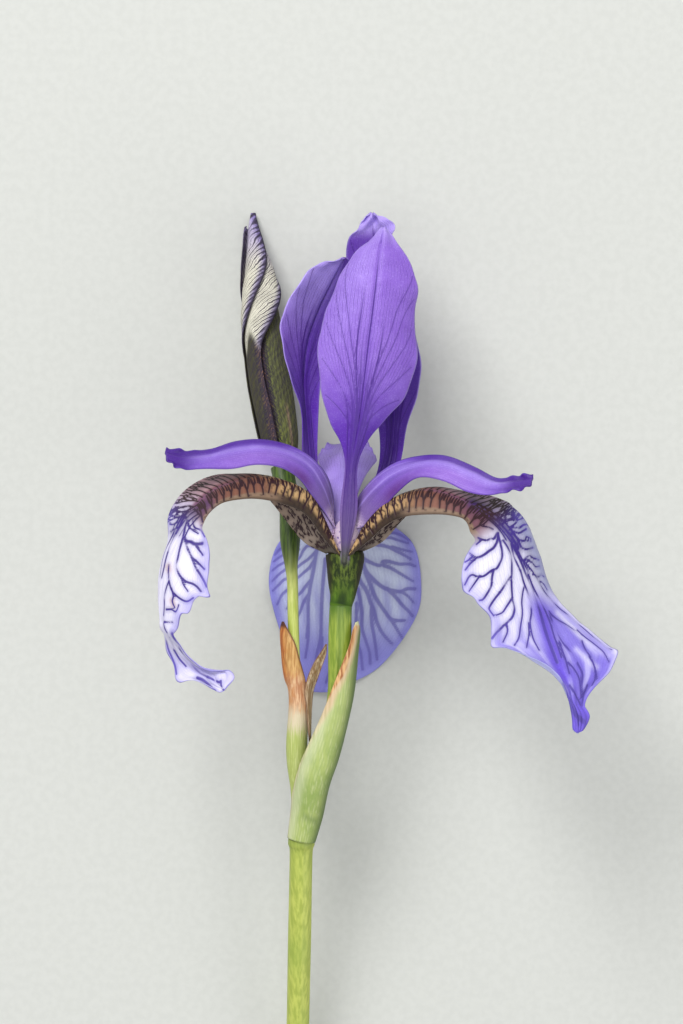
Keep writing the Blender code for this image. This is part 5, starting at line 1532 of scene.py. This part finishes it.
def arm(name, lines, turn, seed, pale, margin):
    """An arm of the style: a satin sheet, greyer and specked at its foot and darker at its
    crest, with a painted highlight along the ridge and on two folds, a bluish band of painted
    shade below it and a pink patch by the near margin. pale moves all of it towards the light
    colour; margin gives the strength of the dark line at each v."""
    points, up, v = petal_grid(lines, rows=170, columns=40, turn=turn)
    tip = steps(up, 0.8, 0.95)
    frill = tip * np.abs(v) ** 3 * 0.3 * np.sin(75 * up + 5 * v + seed)
    fold = 0.12 * np.sin(7 * v + seed) * steps(up, 0.2, 0.5)
    points = points + facing(points) * (frill + fold)[..., None]
    x, y = points[..., 0], points[..., 1]
    specks = np.sin(9.3 * x + 5.1 * y) * np.sin(8.7 * y - 6.2 * x + seed)
    # Painted highlights on two fold lines.
    painted_fold_highlights = bump_at(v, 0.55, 0.06) + bump_at(v, -0.05, 0.06)
    # A bluish band of painted shade below the ridge.
    painted_shade_band = 0.6 * bump_at(v, -0.3, 0.12) * steps(up, 0.05, 0.2) * (1 - steps(up, 0.4, 0.6))
    ground = washed(
        flat(points, STYLE),
        # Painted highlight along the ridge.
        (0.5 * bump_at(v, 0.1, 0.3) * steps(up, 0.2, 0.4) * (1 - tip), STYLE_PALE_AND_PAINTED_HIGHLIGHT),
        (painted_shade_band, STYLE_PAINTED_SHADE_BLUE),
        (0.8 * steps(v, 0.2, 0.7) * steps(up, 0.35, 0.5), CREST),
        (0.85 * steps(-v, -0.1, 0.4) * bump_at(up, 0.58, 0.2), STYLE_BLUSH),
        (0.9 * bump_at(v, -0.9, 0.4) * bump_at(up, 0.31, 0.12), STYLE_PINK),
        (0.85 * (1 - steps(up, 0.12, 0.34)), STYLE_FOOT),
        (1 - steps(up, 0.05, 0.13), STYLE_TISSUE),
        (0.8 * steps(specks, 0.5, 0.8) * (1 - steps(up, 0.06, 0.16)), STYLE_PINK),
        (0.7 * painted_fold_highlights * (1 - steps(up, 0.3, 0.5)), STYLE_PALE_AND_PAINTED_HIGHLIGHT),
        (0.9 * steps(up, 0.78, 0.92), CREST),
        (pale, STYLE_PALE_AND_PAINTED_HIGHLIGHT),
    )
    share = np.linspace(0.02, 0.97, 300)
    laid = [
        vein(on_grid(points, share, (turn * c + 0 * share + 1) / 2), 0.12, 0.12, strength)
        for c, strength in margin.items()
    ]
    folds = (9 * v + 0.4 * np.sin(6 * up + seed), 0.4 * steps(up, 0.05, 0.2), 0.25)
    thickness = 0.14 + 0.34 * (1 - v**2) * (1 - 0.5 * up)
    return leaf(
        name, HEART + MM * points, thickness, (up, v), ground=ground, ink=flat(points, STYLE_INK),
        veins=vein_field(points, laid), fan=np.stack(np.broadcast_arrays(*folds), axis=-1),
    )


def column_relief(angle, path):
    """Three low flats where the arms part: 0.05 cos 3a."""
    return 0.05 * np.cos(3 * (angle - np.pi / 2)) + 0 * path[:, :1]


satin_petal = petal_material(
    "style_violet", pattern, roughness=0.38, mottle=0.45, halo=0.1, glow=0.2
)
mesh = arm("right_style_arm", STYLE_RIGHT, turn=-1, seed=1, pale=0.0, margin={-0.97: 0.4, 0.96: 0.9})
seat(mesh, satin_petal, "style_right")
mesh = arm("left_style_arm", STYLE_LEFT, turn=1, seed=2, pale=0.0, margin={-0.97: 0.5, 0.96: 0.9})
seat(mesh, satin_petal, "style_left")
mesh = arm("back_style_arm", STYLE_BACK, turn=1, seed=3, pale=0.8, margin={-0.97: 0.1, 0.97: 0.1})
seat(mesh, satin_petal, "style_back")
# Dark spots are strewn in a box round the column: its half sizes, its middle and their radius.
SPOT_COUNT = 420
SPOT_BOX = [2.4, 2.4, 2.2]
SPOT_MIDDLE = [0.4, 2.8, 0.6]
SPOT_RADIUS = 0.17
SPOT_STRENGTH = 0.8
mesh = stalk("style_column_skin", smooth_line(COLUMN_PATH, 60), sides=48, relief=column_relief)
skin = np.array([corner.co for corner in mesh.vertices])
spots = np.random.default_rng(6).uniform(-1, 1, (SPOT_COUNT, 3)) * SPOT_BOX + SPOT_MIDDLE
gap = np.linalg.norm((skin[:, None] - HEART) / MM - spots, axis=-1).min(axis=1) / SPOT_RADIUS
stamp(mesh, "ground", flat(skin, STYLE_TISSUE))
stamp(mesh, "ink", flat(skin, STYLE_INK))
stamp(mesh, "veins", np.stack([gap, gap, np.full(len(skin), SPOT_STRENGTH)], axis=-1))
stamp(mesh, "fan", np.zeros_like(skin))
seat(mesh, satin_petal, "style_column")

# ---------------------------------------------------------------------------------------
# Stamens: three pale filaments, each with a long cream anther, pressed under the style arms.
# They stand in the tube's rim, one behind each fall's haft.

# Each stamen: the way it leans, in degrees from +Z towards +X, and its height at each of the
# distances STAMEN_REACH from the axis, where it is STAMEN_SWELLING times as thick.
FILAMENT_RADIUS = 0.24
STAMENS = {
    "stamen_right": (60.0, [0.35, 1.9, 3.7, 6.4, 9.8, 11.5, 11.6]),
    "stamen_left": (-60.0, [0.35, 2.3, 4.8, 9.4, 12.4, 13.5, 13.6]),
    "stamen_back": (180.0, [0.35, 2.3, 5.2, 8.6, 10.4, 11.2, 11.2]),
}
STAMEN_REACH = [1.45, 1.7, 2.7, 5.2, 8.0, 11.5, 14.3]
STAMEN_SWELLING = [2.6, 3.0, 2.4, 1.0, 2.0, 2.3, 1.2]


def anther_relief(angle, path):
    """Two lobes along the anther: -0.16 |cos a|^6, only where the stalk is thick and far out."""
    anther = steps(path[:, 3:4], 0.3, 0.42) * steps(np.hypot(path[:, :1], path[:, 2:3]), 6.0, 7.5)
    return -0.16 * anther * np.abs(np.cos(angle)) ** 6


def stamen_material():
    """Broad whitish-pink filament foot with dark dots, greyish violet stalk, and a cream,
    grainy anther."""
    material, tree = matt("stamen_cream", roughness=0.65)
    up = read(tree, "lie")[0]
    grain = noise(tree, 9000.0)
    grainy = stretch(grain, 0.35, 0.65)
    colour = layered(
        blend(grainy, (196, 168, 202), (226, 206, 226)),
        (stretch(noise(tree, 2600.0, 1.0), 0.56, 0.62), (88, 44, 84)),
        (stretch(up, 0.2, 0.3), blend(grainy, (150, 130, 180), (172, 154, 198))),
        (stretch(up, 0.5, 0.58), blend(grainy, (196, 172, 120), (236, 222, 178))),
    )
    return finished(material, colour, grain, strength=0.5, depth=0.04)


cream_stamen = stamen_material()
reach = np.array(STAMEN_REACH)
radius = FILAMENT_RADIUS * np.array(STAMEN_SWELLING)
for node, (azimuth, heights) in STAMENS.items():
    away = np.radians(azimuth)
    path = np.stack([reach * np.sin(away), heights, reach * np.cos(away), radius], axis=-1)
    mesh = stalk(node + "_skin", smooth_line(path, 120), sides=28, relief=anther_relief)
    seat(mesh, cream_stamen, node)

# ---------------------------------------------------------------------------------------
# Bud: a closed flower on its own green stalk, which swells into its ovary. Three petals are
# rolled round each other, olive below, cream with dark slanting veins and violet margins above.

# Stations along its stalk: (x, y, z, radius).
BUD_STALK_PATH = [
    (-6.2, -40, -5.4, 0.42), (-6.15, -36, -4.75, 0.45), (-6.2, -31, -4.45, 0.55), (-6.35, -26, -4.25, 0.62),
    (-6.4, -21, -4.2, 0.65), (-6.75, -15, -4.45, 0.75), (-7, -9.3, -4.9, 0.8), (-7.1, -4.1, -5.6, 0.8),
    (-7.3, -1.4, -6, 0.95), (-7.5, 2.1, -6.6, 1.45), (-7.6, 7.1, -7.5, 1.5), (-8.3, 10.5, -8.3, 1.6),
    (-8.7, 12.6, -8.8, 1.65),
]
# Stations up the bud: (axis x, y, axis z, radius), how far round a petal turns, its twist.
BUD_AXIS = [
    (-8.8, 13.35, -9.05, 1.9, 150, -7), (-8.9, 16, -9.6, 2.85, 190, -30),
    (-9.6, 20.5, -10.4, 3.15, 205, -40), (-10.4, 25, -11.3, 3.25, 205, -44),
    (-11, 29.5, -12.3, 3.2, 205, -40), (-11.5, 33.5, -13.3, 3.2, 205, 5), (-11.8, 37.5, -14.5, 3, 195, 52),
    (-12.4, 42, -16.2, 2.2, 180, 108), (-13, 46, -17.9, 1.4, 150, 140), (-13, 49.4, -19.65, 0.5, 110, 160),
]
# Each bud petal: the angle its middle faces, its share of the bud's length, and the height in
# millimetres where its olive turns to cream.
BUD_PETALS = {
    "bud_petal_front": (-4.0, 0.93, 21.0),
    "bud_petal_left": (163.0, 0.96, 16.0),
    "bud_petal_right": (243.0, 1.0, 16.0),
}
BUD_SPIRAL_STEP = 0.8
BUD_PETAL_SPACING = 120.0
BUD_OLIVE = paint(62, 60, 28)
BUD_GREEN = paint(112, 118, 58)
BUD_LIME = paint(140, 150, 60)
BUD_BROWN = paint(136, 98, 80)
BUD_CREAM = paint(214, 210, 192)
BUD_LILAC = paint(126, 108, 180)
BUD_INK = paint(34, 24, 46)
BUD_TAN = paint(176, 148, 116)


def bud_petal(name, start_angle, length_share, cream_from):
    """A rolled petal on the bud's stations: radius - step share turn / spacing, so that its
    first margin laps over the next petal; angle = start - twist + turn (share - 1/2). Below,
    veins run lengthwise, with short chevrons at the keel; above, they climb to the margin."""
    rows, columns = 200, 90
    stations = smooth_line(BUD_AXIS, 8 * rows)
    stations = stations[: int(len(stations) * length_share)]
    stations = softened(stations[:: max(1, len(stations) // rows)], 0.02)
    axis_x, y, axis_z, radius, turn, twist = stations.T[:, :, None]
    share = np.linspace(0, 1, columns)[None, ::-1]
    step = np.minimum(BUD_SPIRAL_STEP * turn / BUD_PETAL_SPACING, 0.7 * radius)
    first = start_angle - twist - turn / 2
    wrap = np.concatenate([y, axis_x, axis_z, radius, first, first + turn], axis=1)
    points, angle = wrapped(wrap, share)
    centre = HEART + MM * np.stack([axis_x, y, axis_z], axis=-1)
    points = points - (points - centre) * (step * share / radius)[..., None]
    up = np.linspace(0, 1, len(stations))[:, None]
    v = 2 * share - 1
    height = y - BUD_AXIS[0][1] + 0 * v
    inward = spans(points)[..., 1]
    keel = radius * ((np.pi / 2 - angle + np.radians(14) + np.pi) % (2 * np.pi) - np.pi)
    cream = steps(height + 1.2 * np.cos(2 * keel), cream_from, cream_from + 2.5)
    ridges = 0.04 * np.cos(9 * keel) * (1 - cream) + 0.05 * cream * np.sin(31 * up + 7 * v)
    points = points + facing(points) * (ridges * MM)[..., None]
    keel_width = 0.42 + 0.12 * np.sin(1.7 * height) + 0.08 * np.sin(4.3 * height)
    flecks = np.sin(9 * keel + 1.2 * np.sin(2.3 * height)) * np.sin(4.7 * height + 5 * keel)
    ground = washed(
        flat(points, BUD_OLIVE),
        (0.85 * steps(keel, -0.2, 1.6), BUD_GREEN),
        (0.8 * bump_at(height, 1.0, 2.5) * steps(keel, -0.4, 1.0), BUD_LIME),
        (0.5 * steps(keel, 2.2, 3.2), BUD_OLIVE),
        (0.9 * bump_at(keel, -0.1, keel_width), BUD_BROWN),
        (bump_at(keel, 3.1, 0.25) * (1 - steps(height, 6.0, 8.5)), BUD_TAN),
        (0.6 * steps(flecks, -0.3, 0.6), BUD_INK),
        (cream, BUD_CREAM),
        (0.75 * (cream * (1 - steps(inward, 0.3, 1.5))), BUD_LILAC),
        (0.6 * cream * steps(up, 0.72, 0.9), BUD_LILAC),
    )
    place = (points - HEART) / MM
    line = np.linspace(0.02, 0.97, 300)
    laid = [vein(on_grid(place, line, 1 + 0 * line)[140:], 0.24, 0.2)]
    off_keel = np.abs(keel)
    sway = 0.25 * np.sin(1.9 * height)
    climbing = (height + 0.55 * inward + 0.1 * inward**2) / 0.85
    wavering = 0.12 * np.sin(5.3 * height) + 0.1 * np.sin(8.1 * keel)
    chevrons = (height + 0.8 * off_keel + wavering) / 0.6
    for waves, near, where in ((climbing, inward, cream), (chevrons, off_keel, 1 - cream)):
        apart = np.abs((waves + sway + 0.5) % 1 - 0.5)
        wedge = 0.08 + 0.3 * (1 - steps(near, 0.1, 1.2))
        drawn = (1 - steps(near, 1.0, 2.0)) * (1 - steps(apart - wedge, 0.0, 0.12))
        ground = washed(ground, (0.85 * where * drawn, BUD_INK))
    phase = np.where(off_keel < 1.2, chevrons, keel / 0.3 + 0.8 * np.sin(height))
    phase = np.where(cream > 0.5, climbing + sway, phase)
    seam = np.where(cream > 0.5, 1.0, steps(np.abs(off_keel - 1.2), 0.0, 0.2))
    strength = np.abs(2 * cream - 1) * seam
    thickness = 0.12 + 0.2 * (1 - v**4) + 0 * up
    return leaf(
        name, points, thickness, (up, v), ground=ground, ink=flat(points, BUD_INK),
        veins=vein_field(place, laid), fan=np.stack([phase, strength, 0.6 * strength], axis=-1),
    )


def stalk_relief(angle, path):
    """Three low corners on the swelling, none on the thin stalk below it."""
    return 0.04 * np.cos(3 * angle) * steps(path[:, 1:2], -3.0, 2.0)


def bud_stalk_material():
    """Lime green stalk passing into the darker green ovary under the bud."""
    material, tree = matt("bud_stalk_green", roughness=0.45)
    up, around, _ = read(tree, "lie")
    flecks = noise(tree, 2800.0, 3.0, squash=0.08)
    flecked = stretch(flecks, 0.35, 0.65)
    skin = layered(
        blend(flecked, (176, 190, 84), (206, 212, 122)),
        (stretch(up, 0.55, 0.74), blend(flecked, (42, 62, 16), (78, 102, 32))),
        (stretch(abs(around - 0.5), 0.3, 0.5, 0.0, 0.5), (40, 60, 14)),
    )
    return finished(material, skin, flecks, strength=0.35, depth=0.05)


path = softened(smooth_line(BUD_STALK_PATH, 240), 0.015)
mesh = stalk("bud_stalk", path, sides=48, relief=stalk_relief)
seat(mesh, bud_stalk_material(), "bud_ovary")
rolled_petal = petal_material("bud_olive", pattern, roughness=0.8, mottle=0.8, halo=0.2, glow=0.02)
for node, (start_angle, length_share, cream_from) in BUD_PETALS.items():
    mesh = bud_petal(node + "_skin", start_angle, length_share, cream_from)
    seat(mesh, rolled_petal, node)
